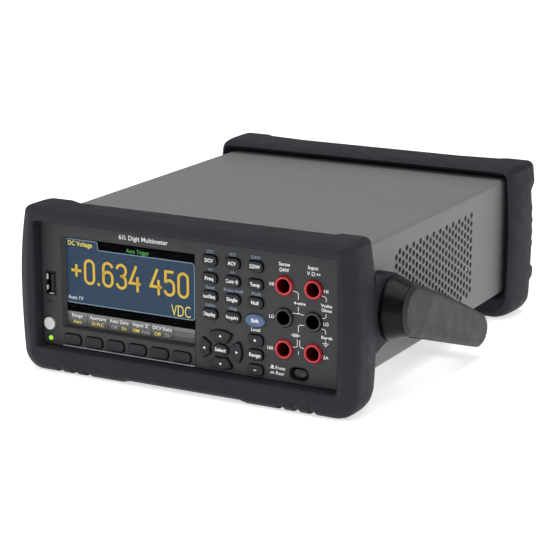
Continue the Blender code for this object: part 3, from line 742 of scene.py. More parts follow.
def make_handle(materials):
    """Two leaf-shaped arms that taper from the hub to the tip, and the flat grip between them."""
    outer_x = corners("carry_handle")[1].x
    hub = hub_centre()
    run = math.dist(ARM_TIP, hub)
    slope = math.degrees(math.atan2(ARM_TIP[1] - hub[1], ARM_TIP[0] - hub[0]))
    taper = math.degrees(math.asin((ARM_HEAD_RADIUS - ARM_TIP_RADIUS) / run))

    def leaf(shrink):
        """The arm's outline, set in by shrink, with a crowned upper edge."""
        end = arc(ARM_TIP, (ARM_TIP_RADIUS - shrink,) * 2, slope - 90 + taper, slope + 90 - taper, 14)
        start = arc(hub, (ARM_HEAD_RADIUS - shrink,) * 2, slope + 90 - taper, slope + 270 + taper, 24)
        crowned = []
        for share in (0.25, 0.5, 0.75):
            swell = ARM_CROWN * math.sin(math.pi * share)
            along = Vector(end[-1]).lerp(Vector(start[0]), share)
            crowned.append((along.x + 0.35 * swell, along.y + swell))
        return end + crowned + start

    for side, name in ((1, "right"), (-1, "left")):
        steps = ((0.9, ARM_INNER_X), (0.25, ARM_INNER_X + 0.6), (0.0, ARM_INNER_X + 1.6),
                 (0.1, outer_x - 3.0), (0.5, outer_x - 1.9), (2.6, outer_x - 0.35),
                 (3.1, outer_x - 0.08), (4.0, outer_x))
        arm = place(f"arm_{name}", layered([(leaf(shrink), side * x) for shrink, x in steps], "X"),
                    materials["handle"], "carry_handle", smooth=40)
        carve(arm, turned(((18.5, side * (ARM_INNER_X - 4.0)), (18.3, side * 128.45)), "X", 48, hub))
    reach = ARM_INNER_X + 2.0
    grip = rounded(GRIP_MIDDLE, GRIP_SIZE, GRIP_CORNER, 6)
    place("grip_bar", prism(grip, -reach, reach, "X"), materials["handle"],
          "carry_handle", replaces=["carry_handle"], smooth=40)


def carve(piece, body):
    """Cut a body, given in the panel's frame, out of a finished piece."""
    tool = place("tool", body, bpy.data.materials["handle_plastic"])
    change = piece.modifiers.new("cut", "BOOLEAN")
    change.operation = "DIFFERENCE"
    change.solver = "EXACT"
    change.object = tool
    settle(piece)
    bpy.data.objects.remove(tool)


def settle(piece):
    """Replace a piece's mesh by what its modifiers make of it."""
    graph = bpy.context.evaluated_depsgraph_get()
    mesh = bpy.data.meshes.new_from_object(piece.evaluated_get(graph))
    piece.modifiers.clear()
    piece.data = mesh


def make_hubs(materials):
    for side, name in ((1, "right"), (-1, "left")):
        profile = [(18.4, side * 115.0), (19.2, side * 115.4), (19.2, side * 116.4), (18.9, side * 118.2),
                   (17.6, side * 121.5), (16.6, side * 124.5), (16.0, side * 127.2), (15.8, side * 128.3)]
        body = turned(profile, "X", 64, hub_centre())
        place(f"hub_{name}", body, materials["hub"],
              replaces=[f"handle_hub_{name}"], smooth=40)


# ---- front panel ----

BUTTON_GAP = 0.3


def nav_arc(angle, grow):
    """One of the four arc keys round the select key, with rounded corners."""
    outer, inner = (14.4 + grow, 12.0 + grow), (7.6 - grow, 5.0 - grow)
    spread = 33.0 + math.degrees(grow / 9.5)

    def at(turn, share):
        """A point on the key: turn from its middle in degrees, share of the way out."""
        radii = [inner[i] + (outer[i] - inner[i]) * share for i in (0, 1)]
        return arc((0, 0), radii, angle + turn, angle + turn, 1)[0]

    points = [at(-spread + 6.0 + (2 * spread - 12.0) * step / 14, 1.0) for step in range(15)]
    points += [at(spread - 3.0, 0.98), at(spread - 1.0, 0.90), at(spread, 0.76), at(spread, 0.3),
               at(spread - 1.5, 0.12), at(spread - 5.0, 0.02)]
    points += [at(spread - 9.0 - (2 * spread - 18.0) * step / 10, 0.0) for step in range(11)]
    points += [at(-spread + 5.0, 0.02), at(-spread + 1.5, 0.12), at(-spread, 0.3), at(-spread, 0.76),
               at(-spread + 1.0, 0.90), at(-spread + 3.0, 0.98)]
    return points


NAV_ANGLES = {"nav_right_key": 0, "nav_up_key": 90, "nav_left_key": 180, "nav_down_key": 270}
FUNCTION_KEYS = ("dc_volts_key", "ac_volts_key", "resistance_key", "frequency_key", "continuity_key",
                 "temperature_key", "run_stop_key", "single_key", "null_key", "display_key", "acquire_key")
RANGE_KEYS = ("range_up_key", "range_key", "range_down_key")
SOFTKEYS = tuple(f"softkey_{number}" for number in range(1, 7))
JACKS = tuple(f"{column}_{row}_jack" for column in ("sense", "input") for row in ("high", "low", "current"))


def nav_middle():
    return node_frame("select_key")[0]


def button_shapes():
    """Every button as node: (centre, outline of a growth), both in the panel's frame."""
    shapes = {}
    radii = {name: 2.7 for name in FUNCTION_KEYS}
    radii |= {name: 2.7 for name in RANGE_KEYS}
    radii |= {name: 2.6 for name in SOFTKEYS}
    radii |= {"power_button": 4.19, "terminal_switch": 2.75}
    for name, radius in radii.items():
        centre, size, _ = node_frame(name)
        shapes[name] = (centre, opening((0, 0), size, radius, 7, follow=1.0))
    for name in ("shift_key", "select_key"):
        centre, size, _ = node_frame(name)
        radii = (size[0] / 2, size[1] / 2)
        shapes[name] = (centre, lambda grow, radii=radii: ellipse((0, 0), [r + grow for r in radii], 36))
    for name, angle in NAV_ANGLES.items():
        shapes[name] = (nav_middle(), lambda grow, angle=angle: nav_arc(angle, grow))
    return shapes


def make_front_panel(materials, shapes):
    middle, size, _ = node_frame("front_panel")
    holes = []
    for name, (centre, shape) in shapes.items():
        if name != "terminal_switch":
            holes.append(lambda grow, centre=centre, shape=shape: shifted(shape(BUTTON_GAP + grow), *centre))
    for name in JACKS:
        centre, _, _ = node_frame(name)
        holes.append(hole_shape(centre, 5.6, 32))
    holes.append(lambda grow: between(BEZEL, grow))
    port, port_size, _ = node_frame("usb_host_port")
    holes.append(opening(port, port_size, 0.8, clearance=0.7))
    holes.append(hole_shape(node_frame("power_led")[0], 1.85, 20))
    holes.append(cup_rim)
    panel = plate(opening(middle, size, 2.0, follow=1.0), holes, 0.0, 2.5, 0.12, 0.14)
    place("front_panel_moulding", panel, materials["panel"],
          replaces=["front_panel"])

    # the slope down to the screen, and the slightly raised pad around the soft keys
    bezel = [(between(BEZEL, 0.0), 0.05), (between(BEZEL, -0.25), 0.12), (between(BEZEL_INNER, 0.0), 2.6),
             (between(BEZEL_INNER, 0.0), 2.75), (between(BEZEL, 0.0), 2.75)]
    place("display_bezel", layered(bezel, "Y", True), materials["bezel"], smooth=30)
    pad_holes = [lambda grow, centre=shapes[name][0], shape=shapes[name][1]:
                 shifted(shape(BUTTON_GAP + 0.1 + grow), *centre) for name in SOFTKEYS]
    pad = plate(lambda grow: between((-89.0, 6.2, 16.75, 27.9), grow), pad_holes, -0.4, 0.02, 0.12, 0.2)
    place("softkey_pad", pad, materials["panel"], smooth=30)
    trim = prism(rectangle(-88.6, 5.6, 16.3, 16.72), -0.55, 0.02)
    place("softkey_trim_line", trim, materials["trim"], smooth=40)


BEZEL = (-89.2, 6.4, 28.0, 85.7)          # left, right, bottom, top where the slope starts
BEZEL_INNER = (-86.9, 5.1, 29.6, 84.6)    # and where it meets the window


def between(box_outline, grow):
    left, right, bottom, top = box_outline
    return rounded(((left + right) / 2, (bottom + top) / 2),
                   (right - left + 2 * grow, top - bottom + 2 * grow), 0.9 + max(0.0, grow), 3)


CUP_MIDDLE, CUP_SIZE = (75.6, 21.95), (13.8, 9.4)
cup_rim = opening(CUP_MIDDLE, CUP_SIZE, 4.6, 8, follow=1.0)


def make_switch_cup(materials):
    """The oval cup that the terminal switch sits in."""
    centre, size, _ = node_frame("terminal_switch")
    mouth = opening(centre, size, 2.9, 8, 0.6, 1.0)
    levels = [(cup_rim(0.0), 0.02), (cup_rim(-0.35), -0.12), (cup_rim(-0.7), 0.25), (mouth(0.9), 2.0),
              (mouth(0.0), 2.6), (mouth(0.0), 3.6), (cup_rim(0.0), 3.6)]
    paints = [materials["panel"], materials["key_painted_side_shade"]]
    cup = place("terminal_switch_cup", layered(levels, "Y", True), paints, smooth=40)
    # the cup's inside, deeper than 0.3 mm, takes the near-black side paint: painted shade in the recess
    for face in cup.data.polygons:
        face.material_index = 1 if face.center.y / MM - PANEL_Y > 0.3 else 0


def cap_body(centre, shape, proud, rear, edge=0.55, dish=0.12):
    """A button with softened edges and a slightly dished top."""
    layers = [(0.0, rear), (0.0, -proud + edge), (-0.30 * edge, -proud + 0.30 * edge),
              (-edge, -proud), (-edge - 0.9, -proud + dish)]
    return layered([(shifted(shape(grow), *centre), level) for grow, level in layers])


KEY_LEGENDS = {                    # words, width, shift to the side
    "dc_volts_key": ("DCV", 5.5, 0.0), "ac_volts_key": ("ACV", 5.5, 0.0),
    "resistance_key": ("Ω2W", 6.9, 0.0), "frequency_key": ("Freq", 5.6, 0.0),
    "continuity_key": ("Cont", 5.6, -1.5), "temperature_key": ("Temp", 6.4, 0.0),
    "run_stop_key": ("Run/Stop", 9.3, 0.0), "single_key": ("Single", 7.3, 0.0),
    "null_key": ("Null", 4.8, 0.0), "display_key": ("Display", 8.8, 0.0),
    "acquire_key": ("Acquire", 9.2, 0.0), "shift_key": ("Shift", 5.2, 0.0),
    "select_key": ("Select", 7.4, 0.0), "range_key": ("Range", 7.6, 0.0),
}


def make_buttons(materials, shapes):
    paints = {"shift_key": ("key_blue", "button_blue"), "power_button": ("key_white", "button_white"),
              "terminal_switch": ("key_black", "button_black")}
    for name, (centre, shape) in shapes.items():
        paint, slot = paints.get(name, ("key", "button_grey"))
        front, rear = depths(name)
        proud = -front
        edge, dish = {"power_button": (0.8, 0.3), "terminal_switch": (1.3, 0.5),
                      "shift_key": (0.7, 0.0), "select_key": (0.6, 0.1)}.get(name, (0.6, 0.1))
        side_shade_paint = {"key_blue": "key_blue_painted_side_shade", "key_white": "key_white_painted_side_shade"}.get(paint, "key_painted_side_shade")
        cap = place(f"{name}_cap", cap_body(centre, shape, proud, rear, edge, dish),
                    [materials[paint], materials[side_shade_paint]], name, [name], 50)
        # faces that don't face forward take the darker copy: painted shade on the keys' sides
        for face in cap.data.polygons:
            face.material_index = 1 if face.normal.y > -0.55 else 0
        top = -proud + dish
        strokes = []
        if name in KEY_LEGENDS:
            words, width, shift = KEY_LEGENDS[name]
            strokes.append(text_body(words, 2.15, (centre[0] + shift, centre[1] + 0.1), top, width, 0.08,
                                     weight=0.07))
        if name == "continuity_key":
            for radius in (1.1, 1.9):
                bow = arc((centre[0] + 2.3, centre[1]), (radius * 0.8, radius), -50, 50, 6)
                strokes.append(ribbon(bow, 0.32, top - 0.04, 0.08))
            dot = circle((centre[0] + 2.3, centre[1]), 0.35, 10)
            strokes.append(prism(dot, top - 0.04, top + 0.04))
        if name in ("range_up_key", "range_down_key"):
            strokes.append(ribbon([(centre[0] - 0.85, centre[1]), (centre[0] + 0.85, centre[1])], 0.5,
                                  top - 0.04, 0.08))
        if name == "range_up_key":
            strokes.append(ribbon([(centre[0], centre[1] - 0.85), (centre[0], centre[1] + 0.85)], 0.5,
                                  top - 0.03, 0.08))
        if name in NAV_ANGLES:
            turn = math.radians(NAV_ANGLES[name])
            reach = (10.9, 8.5)[name in ("nav_up_key", "nav_down_key")]
            spot = (centre[0] + reach * math.cos(turn), centre[1] + reach * math.sin(turn))
            tip = [(math.cos(turn + corner) * 1.05, math.sin(turn + corner) * 1.05)
                   for corner in (0.0, math.tau / 3, 2 * math.tau / 3)]
            strokes.append(prism(shifted(tip, *spot), -proud - 0.02, -proud + 0.1))
        if strokes:
            place(f"{name}_legend", merge(strokes), materials["white_print_painted_glow"], name)


def make_jacks(materials):
    """Safety sockets: a rounded collar, a deep bore and a metal contact at the bottom of it."""
    for name in JACKS:
        centre, _, _ = node_frame(name)
        profile = [(4.15, 13.9), (4.15, -0.8), (4.2, -1.4), (4.45, -1.85), (4.8, -1.99), (5.1, -1.9),
                   (5.75, -1.1), (5.95, -0.6), (5.98, -0.02), (5.25, -0.02), (5.25, 19.9)]
        body = turned(profile, "Y", 48, centre)
        slot = "jack_black" if "_low_" in name else "jack_red"
        paints = [materials[slot + part] for part in ("", "_edge", "_bore")]
        socket = place(f"{name}_socket", body, paints, replaces=[name], smooth=40)
        # the bore takes the darker copy and the collar's lip the lighter one: painted shade and painted
        # highlight
        for face in socket.data.polygons:
            spread = math.hypot(face.center.x / MM - centre[0], face.center.z / MM - centre[1])
            depth = face.center.y / MM - PANEL_Y
            if spread < 4.3 and depth > -0.9:
                face.material_index = 2
            elif 4.2 < spread < 5.15 and depth < -1.2:
                face.material_index = 1
        contact = [(1.5, 13.8), (1.5, 8.2), (1.8, 7.9), (2.1, 8.2), (2.1, 13.85)]
        place(f"{name}_contact", turned(contact, "Y", 24, centre), materials["gold"])


def make_ports_and_lamp(materials):
    """The USB host port with its tongue and contacts, the power lamp and the port's embossed mark."""
    (x, z), size, front = node_frame("usb_host_port")
    back = depths("usb_host_port")[1]
    shell = opening((x, z), size, 0.5, 3, -1.2)
    shell_levels = [(shell(0.0), back - 0.6), (shell(0.0), front + 0.2), (shell(0.15), front),
                    (shell(0.5), front), (shell(0.6), front + 0.15), (shell(0.6), back), (shell(0.3), back)]
    place("usb_host_shell", layered(shell_levels), materials["moulding"],
          replaces=["usb_host_port"])
    tongue = prism(rounded((x + 0.9, z), (2.2, 11.2), 0.3, 2), front + 0.9, back - 0.7)
    place("usb_host_tongue", tongue, materials["moulding"])
    springs = [prism(rectangle(x + left, x + right, z + low, z + high), front + 0.15, front + 1.3)
               for left, right, low, high in ((-2.9, -2.35, 2.2, 5.6), (-2.9, -2.35, -4.4, -1.6),
                                              (-1.2, 2.1, -6.8, -6.35))]
    place("usb_host_springs", merge(springs), materials["pale_print"])
    mark = [ribbon([(-98.9, 43.5), (-96.2, 43.5)], 0.3, -0.06),
            prism(circle((-99.4, 43.5), 0.6, 12), -0.06, 0.02),
            ribbon([(-98.3, 43.5), (-97.7, 44.5), (-97.0, 44.5)], 0.26, -0.05),
            ribbon([(-97.9, 43.5), (-97.3, 42.5), (-96.8, 42.5)], 0.26, -0.05),
            prism([(-96.3, 43.0), (-95.4, 43.5), (-96.3, 44.0)], -0.06, 0.02)]
    place("usb_host_mark", merge(mark), materials["dark_print"])

    centre, lamp_size, lamp_front = node_frame("power_led")
    radius = lamp_size[0] / 2
    dome = turned([(radius, 5.0), (radius, lamp_front + 0.7), (radius * 0.9, lamp_front + 0.3),
                   (radius * 0.6, lamp_front + 0.05), (radius * 0.2, lamp_front)], "Y", 28, centre)
    place("power_lamp", dome, materials["led"], replaces=["power_led"], smooth=60)


# ---- the lit display ----

SCREEN_LEVEL = 4.06            # just in front of the display module
TEXT_LEVEL = SCREEN_LEVEL - 0.1
READING_Z = 64.1
MENU_BOTTOM, MENU_HEIGHT, MENU_BANDS = 29.0, 8.7, 8      # each menu cell is shaded in bands
TITLE_Z, CHOICE_Z, CHOICE_SHIFT = 35.4, 31.6, 3.4


def digit_strokes(mark):
    """Centre lines of one large numeral, about its own middle: half width 3.2, half height 7.2."""
    a, b = 3.2, 7.2
    top, low = (0.0, b - a), (0.0, a - b)
    radii = (a, a)
    if mark == "0":
        return [(arc(top, radii, 0, 180, 12) + arc(low, radii, 180, 360, 12), True)]
    if mark == "6":
        bowl = arc(low, radii, 180, 360, 12) + arc((0.0, -1.6), radii, 0, 172, 12)
        return [(arc(top, radii, 10, 180, 12)[0:1] + arc(top, radii, 22, 180, 12) + bowl, False)]
    if mark == "3":
        upper = arc(top, radii, 172, 0, 12) + arc((0.0, 3.2), (a, 2.9), 0, -90, 8)
        lower = arc((0.0, -2.9), (a, 3.2), 90, 0, 8) + arc(low, radii, 0, -172, 12)
        return [(upper + [(-0.9, 0.3)], False), ([(-0.9, 0.3)] + lower, False)]
    if mark == "4":
        return [([(1.5, b + 0.7), (-3.3, -3.1), (4.3, -3.1)], False), ([(2.2, 1.2), (2.2, -8.2)], False)]
    if mark == "5":
        bowl = arc((0.0, -1.3), (a, a), 150, 0, 10) + arc(low, radii, 0, -172, 12)
        return [([(3.1, b), (-2.5, b), (-2.8, 0.3)], False), (bowl, False)]
    if mark == "+":
        return [([(-3.7, 0.0), (3.7, 0.0)], False), ([(0.0, -3.9), (0.0, 3.9)], False)]
    return [([(-0.9, -6.9), (0.9, -6.9)], False)]


READING = (("+", -80.5), ("0", -70.9), (".", -64.3), ("6", -57.6), ("3", -47.9), ("4", -38.6), ("4", -23.7),
           ("5", -14.0), ("0", -4.3))
MENU = (("Range", "Auto", ""), ("Aperture", "10 PLC", ""), ("Auto Zero", "On", "Off"),
        ("Input Z", "10M", "Auto"), ("DCV Ratio", "Off", "On"), None)
MENU_EDGES = (-88.2, -73.2, -58.1, -42.3, -27.1, -11.6, 3.6)
LIT_SECOND = (2,)              # menu entries whose chosen word stands on the right


def field_outline(grow):
    """The blue field: rounded corners and a tab at its top left."""
    left, right, bottom, low_top, high_top = -88.3 - grow, 3.6 + grow, 43.3 - grow, 78.6 + grow, 83.7 + grow
    step = -64.6 + grow
    points = arc((left + 1.8, bottom + 1.8), (1.8, 1.8), 180, 270, 5)
    points += arc((right - 1.8, bottom + 1.8), (1.8, 1.8), 270, 360, 5)
    points += arc((right - 1.8, low_top - 1.8), (1.8, 1.8), 0, 90, 5)
    points += arc((step + 1.2, low_top + 1.2), (1.2, 1.2), 270, 180, 4)
    points += arc((step - 1.8, high_top - 1.8), (1.8, 1.8), 0, 90, 5)
    points += arc((left + 1.8, high_top - 1.8), (1.8, 1.8), 90, 180, 5)
    return points


def make_display(materials):
    level = SCREEN_LEVEL
    low, high = corners("display_module")
    near, far = depths("display_module")

    def words(text, height, x, z, width=None, weight=0.0):
        return text_body(text, height, (x, z), TEXT_LEVEL, width, weight=weight)

    def face(name, bodies, material):
        place(name, merge(bodies), materials[material])

    module = layered([(rectangle(low.x + edge, high.x - edge, low.z + edge, high.z - edge), depth)
                      for edge, depth in ((0.3, near), (0.0, near + 0.3), (0.0, far - 0.3), (0.3, far))])
    place("display_module_body", module, materials["screen_black"],
          replaces=["display_module"])
    face("screen_field", [prism(field_outline(-0.35), level - 0.02, level + 0.03)], "screen_blue")
    face("screen_field_rim", [ribbon(field_outline(-0.2), 0.42, level - 0.05, 0.04, True)], "screen_rim")
    outlines, marks = [], []
    for mark, x in READING:
        for points, closed in digit_strokes(mark):
            line = shifted(points, x, READING_Z)
            marks.append(ribbon(line, 1.75, level - 0.16, 0.04, closed))
            outlines.append(ribbon(line, 2.4, level - 0.10, 0.04, closed))
    face("screen_reading", marks, "screen_yellow")
    face("screen_reading_edge", outlines, "screen_edge")
    face("screen_unit", [words("VDC", 7.1, -6.1, 48.1, 13.4, -0.10),
                         words("DC Voltage", 2.9, -77.4, 81.1, 17.6, 0.04)], "screen_yellow_text")
    face("screen_trigger", [words("Auto Trigger", 2.5, -36.0, 80.9, 16.4)], "screen_green")
    cells, tops, seams, white, yellow, dim = [], [], [], [], [], []
    for number, entry in enumerate(MENU):
        left, right = MENU_EDGES[number] + 0.12, MENU_EDGES[number + 1] - 0.12
        for band in range(MENU_BANDS):
            bottom = MENU_BOTTOM + MENU_HEIGHT * band / MENU_BANDS
            (cells if band < 3 else seams if band < 6 else tops).append(
                prism(rectangle(left, right, bottom, bottom + MENU_HEIGHT / MENU_BANDS),
                      level - 0.02, level + 0.03))
        if not entry:
            continue
        title, chosen, other = entry
        middle = (left + right) / 2
        white.append(words(title, 2.15, middle, TITLE_Z, min(13.4, 1.42 * len(title) + 0.7), 0.02))
        if other:
            shift = CHOICE_SHIFT if number in LIT_SECOND else -CHOICE_SHIFT
            yellow.append(words(chosen, 2.0, middle + shift, CHOICE_Z, 1.35 * len(chosen) + 0.6, 0.02))
            dim.append(words(other, 2.0, middle - shift, CHOICE_Z, 1.35 * len(other) + 0.6))
        else:
            yellow.append(words(chosen, 2.1, middle, CHOICE_Z, 1.4 * len(chosen) + 0.5, 0.02))
    white.append(words("Auto 1V", 2.4, -81.4, 46.9, 11.2))
    for name, bodies, material in (("menu_cells_low", cells, "screen_grey"),
                                   ("menu_cells_middle", seams, "screen_grey_middle"),
                                   ("menu_cells_top", tops, "screen_grey_top"),
                                   ("menu_titles", white, "screen_white"),
                                   ("menu_choices", yellow, "screen_yellow_text"),
                                   ("menu_others", dim, "screen_dim")):
        face(name, bodies, material)
    repaint("display_window", materials["window"])


# ---- print on the front panel ----

BLUE_WORDS = (("DCI", 16.8, 88.3, 4.3), ("ACI", 31.8, 88.3, 4.1), ("Ω4W", 47.3, 88.3, 6.0),
              ("Reset", 16.7, 66.6, 6.0), ("Probe Hold", 32.2, 66.6, 12.6), ("Math", 47.5, 66.6, 6.0),
              ("Utility", 16.7, 55.8, 6.7), ("Help", 32.1, 55.7, 5.4))
WHITE_WORDS = (("Local", 47.1, 45.0, 5.9, 2.0), ("Sense", 66.0, 86.7, 7.3, 2.2),
               ("Ω4W", 65.9, 83.2, 6.3, 2.1),
               ("Input", 84.6, 86.7, 6.6, 2.2), ("V Ω", 83.2, 83.1, 5.2, 2.1), ("HI", 57.7, 74.0, 2.7, 2.0),
               ("HI", 92.9, 73.8, 2.7, 2.0), ("LO", 57.7, 54.6, 3.3, 2.0), ("LO", 93.0, 54.5, 3.3, 2.0),
               ("10A", 56.9, 35.4, 4.0, 2.0), ("3A", 93.0, 34.5, 3.3, 2.0), ("I", 75.3, 34.9, 0.4, 2.0),
               ("Front", 63.5, 23.9, 6.3, 2.0), ("Rear", 63.3, 20.7, 5.6, 2.0),
               ("4-wire", 76.0, 64.6, 7.6, 1.8), ("Volts", 93.2, 65.3, 7.4, 1.8),
               ("Ohms", 93.3, 62.6, 6.6, 1.8), ("Earth", 93.6, 46.4, 7.0, 1.8),
               ("6½ Digit Multimeter", -29.4, 90.0, 34.4, 2.8))
JACK_LINES = (((71.6, 71.4), (74.2, 71.1), (75.1, 70.2), (75.1, 66.8)),
              ((75.1, 62.4), (75.1, 59.1), (76.0, 58.2), (79.0, 57.9)),
              ((75.1, 60.0), (75.1, 58.3), (71.2, 58.2)),
              ((90.2, 70.9), (92.2, 70.6), (93.0, 69.8), (93.0, 67.6)),
              ((93.0, 60.6), (93.0, 58.8), (92.2, 57.8), (90.0, 57.6)),
              ((90.0, 51.4), (92.0, 51.1), (92.8, 50.2), (92.8, 48.4)), ((92.8, 44.8), (92.8, 42.9)),
              ((79.0, 51.8), (76.2, 51.7), (75.2, 50.9), (75.2, 47.4)),
              ((74.5, 42.9), (74.5, 38.9), (73.7, 38.1), (71.6, 37.9)),
              ((76.0, 42.6), (76.0, 39.2), (76.8, 38.2), (78.8, 38.0)), ((70.4, 45.1), (76.2, 45.1)),
              ((90.8, 42.9), (94.8, 42.9)), ((91.6, 42.0), (94.0, 42.0)), ((92.3, 41.2), (93.3, 41.2)))


# a diode's two lines, then the four of a capacitor
DIODE_LINES = (((14.9, 77.4), (18.8, 77.4)), ((18.0, 76.6), (18.0, 78.2)),
               ((29.9, 77.4), (31.4, 77.4)), ((32.2, 77.4), (33.7, 77.4)),
               ((31.4, 76.5), (31.4, 78.3)), ((32.2, 76.5), (32.2, 78.3)))


def make_print(materials):
    level = -0.05
    blue = [text_body(words, 1.95, (x, z), level, width, weight=0.03) for words, x, z, width in BLUE_WORDS]
    blue += [ribbon(line, 0.3, level) for line in DIODE_LINES[:2]]
    blue.append(prism([(16.0, 76.6), (17.8, 77.4), (16.0, 78.2)], level, level + 0.06))
    blue += [ribbon(line, 0.3, level) for line in DIODE_LINES[2:]]
    place("blue_legends", merge(blue), materials["blue_print_painted_glow"])
    white = [text_body(words, height, (x, z), level, width, weight=0.05)
             for words, x, z, width, height in WHITE_WORDS]
    white += [ribbon(points, 0.36, level) for points in JACK_LINES]
    white.append(ribbon(rounded((73.3, 45.1), (3.4, 1.5), 0.4, 2), 0.3, level - 0.01, 0.06, True))
    white += [ribbon([(86.6, 83.1), (89.4, 83.1)], 0.28, level),
              ribbon([(88.7, 82.3), (88.7, 83.9)], 0.3, level),
              prism([(87.0, 82.3), (88.5, 83.1), (87.0, 83.9)], level, level + 0.06)]
    for z, tall in ((23.0, 1.5), (20.0, 0.6)):
        white.append(prism(rectangle(56.6, 59.6, z, z + 0.45), level, level + 0.06))
        white.append(prism(rectangle(57.3, 58.9, z + 0.6, z + 0.6 + tall), level, level + 0.06))
    place("white_legends", merge(white), materials["white_print_painted_glow"])


# ---- rear panel and its connectors ----

REAR_LEVEL = 250.0             # the rear panel's inner face
REAR_SHEET = 1.5
REAR_SCREWS = ((-96.0, 86.5), (96.0, 86.5), (-96.0, 26.0), (96.0, 26.0), (-12.0, 58.0), (34.0, 82.0))
MAINS_MIDDLE, MAINS_SIZE, DRAWER_SIZE = (-83.5, 44.0), (24.6, 17.0), (12.6, 23.0)
COAXIAL = ("trigger_connector", "complete_connector")
TERMINAL_SPREAD = 9.5          # from the middle of the rear terminal block to each socket
REAR_WORDS = (("AC line", -83.5, 62.5, 12.0), ("Fuse", -57.5, 62.5, 6.5),
              ("Trigger in", -28.0, 60.0, 15.0), ("Complete out", -28.0, 32.0, 19.0),
              ("LAN", 6.0, 53.0, 5.6), ("USB", 30.0, 53.0, 5.6),
              ("Current fuse", 8.0, 60.0, 17.0), ("Rear terminals", 66.0, 88.5, 22.0))
TERMINAL_WORDS = (("Sense", 56.5, 81.6, 7.5), ("Input", 75.5, 81.6, 7.0), ("HI", 44.5, 71.5, 3.0),
                  ("LO", 44.5, 52.5, 3.4), ("HI", 87.5, 71.5, 3.0), ("LO", 87.5, 52.5, 3.4))


def polar(centre, radius, degrees):
    turn = math.radians(degrees)
    return centre[0] + radius * math.cos(turn), centre[1] + radius * math.sin(turn)


def cross_screw(centre, depth, outwards=1, axis="Y", radius=2.9):
    """A pan-head screw with a cross recess, as a head and four raised quadrants."""
    head = turned([(radius, depth), (radius, depth + outwards * 0.7), (radius * 0.88, depth + outwards * 1.2),
                   (radius * 0.55, depth + outwards * 1.35)], axis, 28, centre)
    quadrants = []
    for turn in (45, 135, 225, 315):
        spot = polar(centre, 0.95, turn)
        quadrants.append(layered([(rounded(spot, (1.0 - cut, 1.0 - cut), 0.2, 2), depth + outwards * level)
                                  for cut, level in ((0.0, 1.3), (0.0, 1.62), (0.2, 1.72))], axis))
    return merge([head] + quadrants)


def make_rear_sheet(materials):
    """The rear panel, with openings for what passes through it and two rows of vent slots."""
    holes = []
    for name in ("power_inlet", "lan_port", "usb_device_port", "rear_terminal_block"):
        middle, size, _ = node_frame(name)
        holes.append(opening(middle, size, 0.8, 3, 0.6))
    holes.append(hole_shape(node_frame("fuse_holder")[0], 8.3, 32))
    holes += [hole_shape(node_frame(name)[0], 6.3, 28) for name in COAXIAL]
    slots = [(x, 84.5) for x in range(-88, -46, 7)] + [(x, 27.5) for x in range(40, 92, 7)]
    holes += [opening(spot, (3.4, 6.4), 1.7, 4) for spot in slots]
    middle, size, _ = node_frame("rear_panel")
    face = depths("rear_panel")[1]
    sheet = plate(opening(middle, size, 2.0), holes, face, face - REAR_SHEET, 0.2, 0.25)
    place("rear_panel_sheet", sheet, materials["rear_panel"],
          replaces=["rear_panel"])


def make_inlet(materials):
    """The mains inlet: a flange, a socket with three blades, and the fuse drawer beside it."""
    top = depths("power_inlet")[1]
    middle, size, _ = node_frame("power_inlet")
    drawer_middle, drawer_size, _ = node_frame("fuse_drawer")
    inlet = plate(opening(middle, size, 2.0, 4),
                  [opening(MAINS_MIDDLE, MAINS_SIZE, 3.0, 4), opening(drawer_middle, DRAWER_SIZE, 0.4, 2)],
                  top, top - 21.2, 0.35, 0.7)
    floor = prism(rectangle(-97.0, -48.5, 31.0, 57.0), top - 23.9, top - 21.3)
    well = prism(rounded(MAINS_MIDDLE, (22.6, 15.0), 2.0, 4), top - 21.3, top - 14.6)
    place("inlet_body", merge([inlet, floor, well]), materials["moulding"],
          replaces=["power_inlet"])
    blades = []
    for dx, dz in ((-7.0, -1.0), (0.0, 2.6), (7.0, -1.0)):
        x, z = MAINS_MIDDLE[0] + dx, MAINS_MIDDLE[1] + dz
        blades.append(layered([(rectangle(x - 1.0 + cut, x + 1.0 - cut, z - 2.2 + cut, z + 2.2 - cut),
                                top + level) for cut, level in ((0.0, -14.7), (0.0, -3.4), (0.5, -2.4))]))
    place("inlet_blades", merge(blades), materials["plated"])
    inner, outer = depths("fuse_drawer")
    drawer = layered([(rounded(drawer_middle, [length - 2 * cut for length in drawer_size], 0.5, 2), level)
                      for cut, level in ((0.0, inner), (0.0, outer - 0.5), (0.45, outer), (2.6, outer),
                                         (3.2, outer - 0.8))])
    place("fuse_drawer_front", drawer, materials["moulding_grey"], "fuse_drawer",
          ["fuse_drawer"])


def make_current_fuse(materials):
    """The current fuse's holder and its bayonet cap with finger ribs."""
    centre = node_frame("fuse_holder")[0]
    start, end = depths("fuse_holder")
    holder = turned([(5.6, REAR_LEVEL - 6.0), (5.6, end - 0.3), (5.9, end), (7.6, end), (8.0, end - 0.5),
                     (8.0, start)], "Y", 40, centre)
    place("fuse_holder_body", holder, materials["moulding"],
          replaces=["fuse_holder"])
    root, tip = depths("fuse_cap")

    def ribbed(radius, depth=0.22):
        return [polar(centre, radius - (depth if step % 2 else 0.0), 7.5 * step) for step in range(48)]

    cap = layered([(ribbed(5.2, 0.0), root), (ribbed(5.2, 0.0), end + 0.35), (ribbed(7.55), end + 0.35),
                   (ribbed(7.6), tip - 0.9), (ribbed(6.8, 0.05), tip)])
    knob = place("fuse_cap_knob", cap, materials["moulding_grey"], "fuse_cap",
                 ["fuse_cap"])
    slot = rectangle(centre[0] - 5.4, centre[0] + 5.4, centre[1] - 0.8, centre[1] + 0.8)
    carve(knob, prism(slot, tip - 1.5, tip + 2.0))


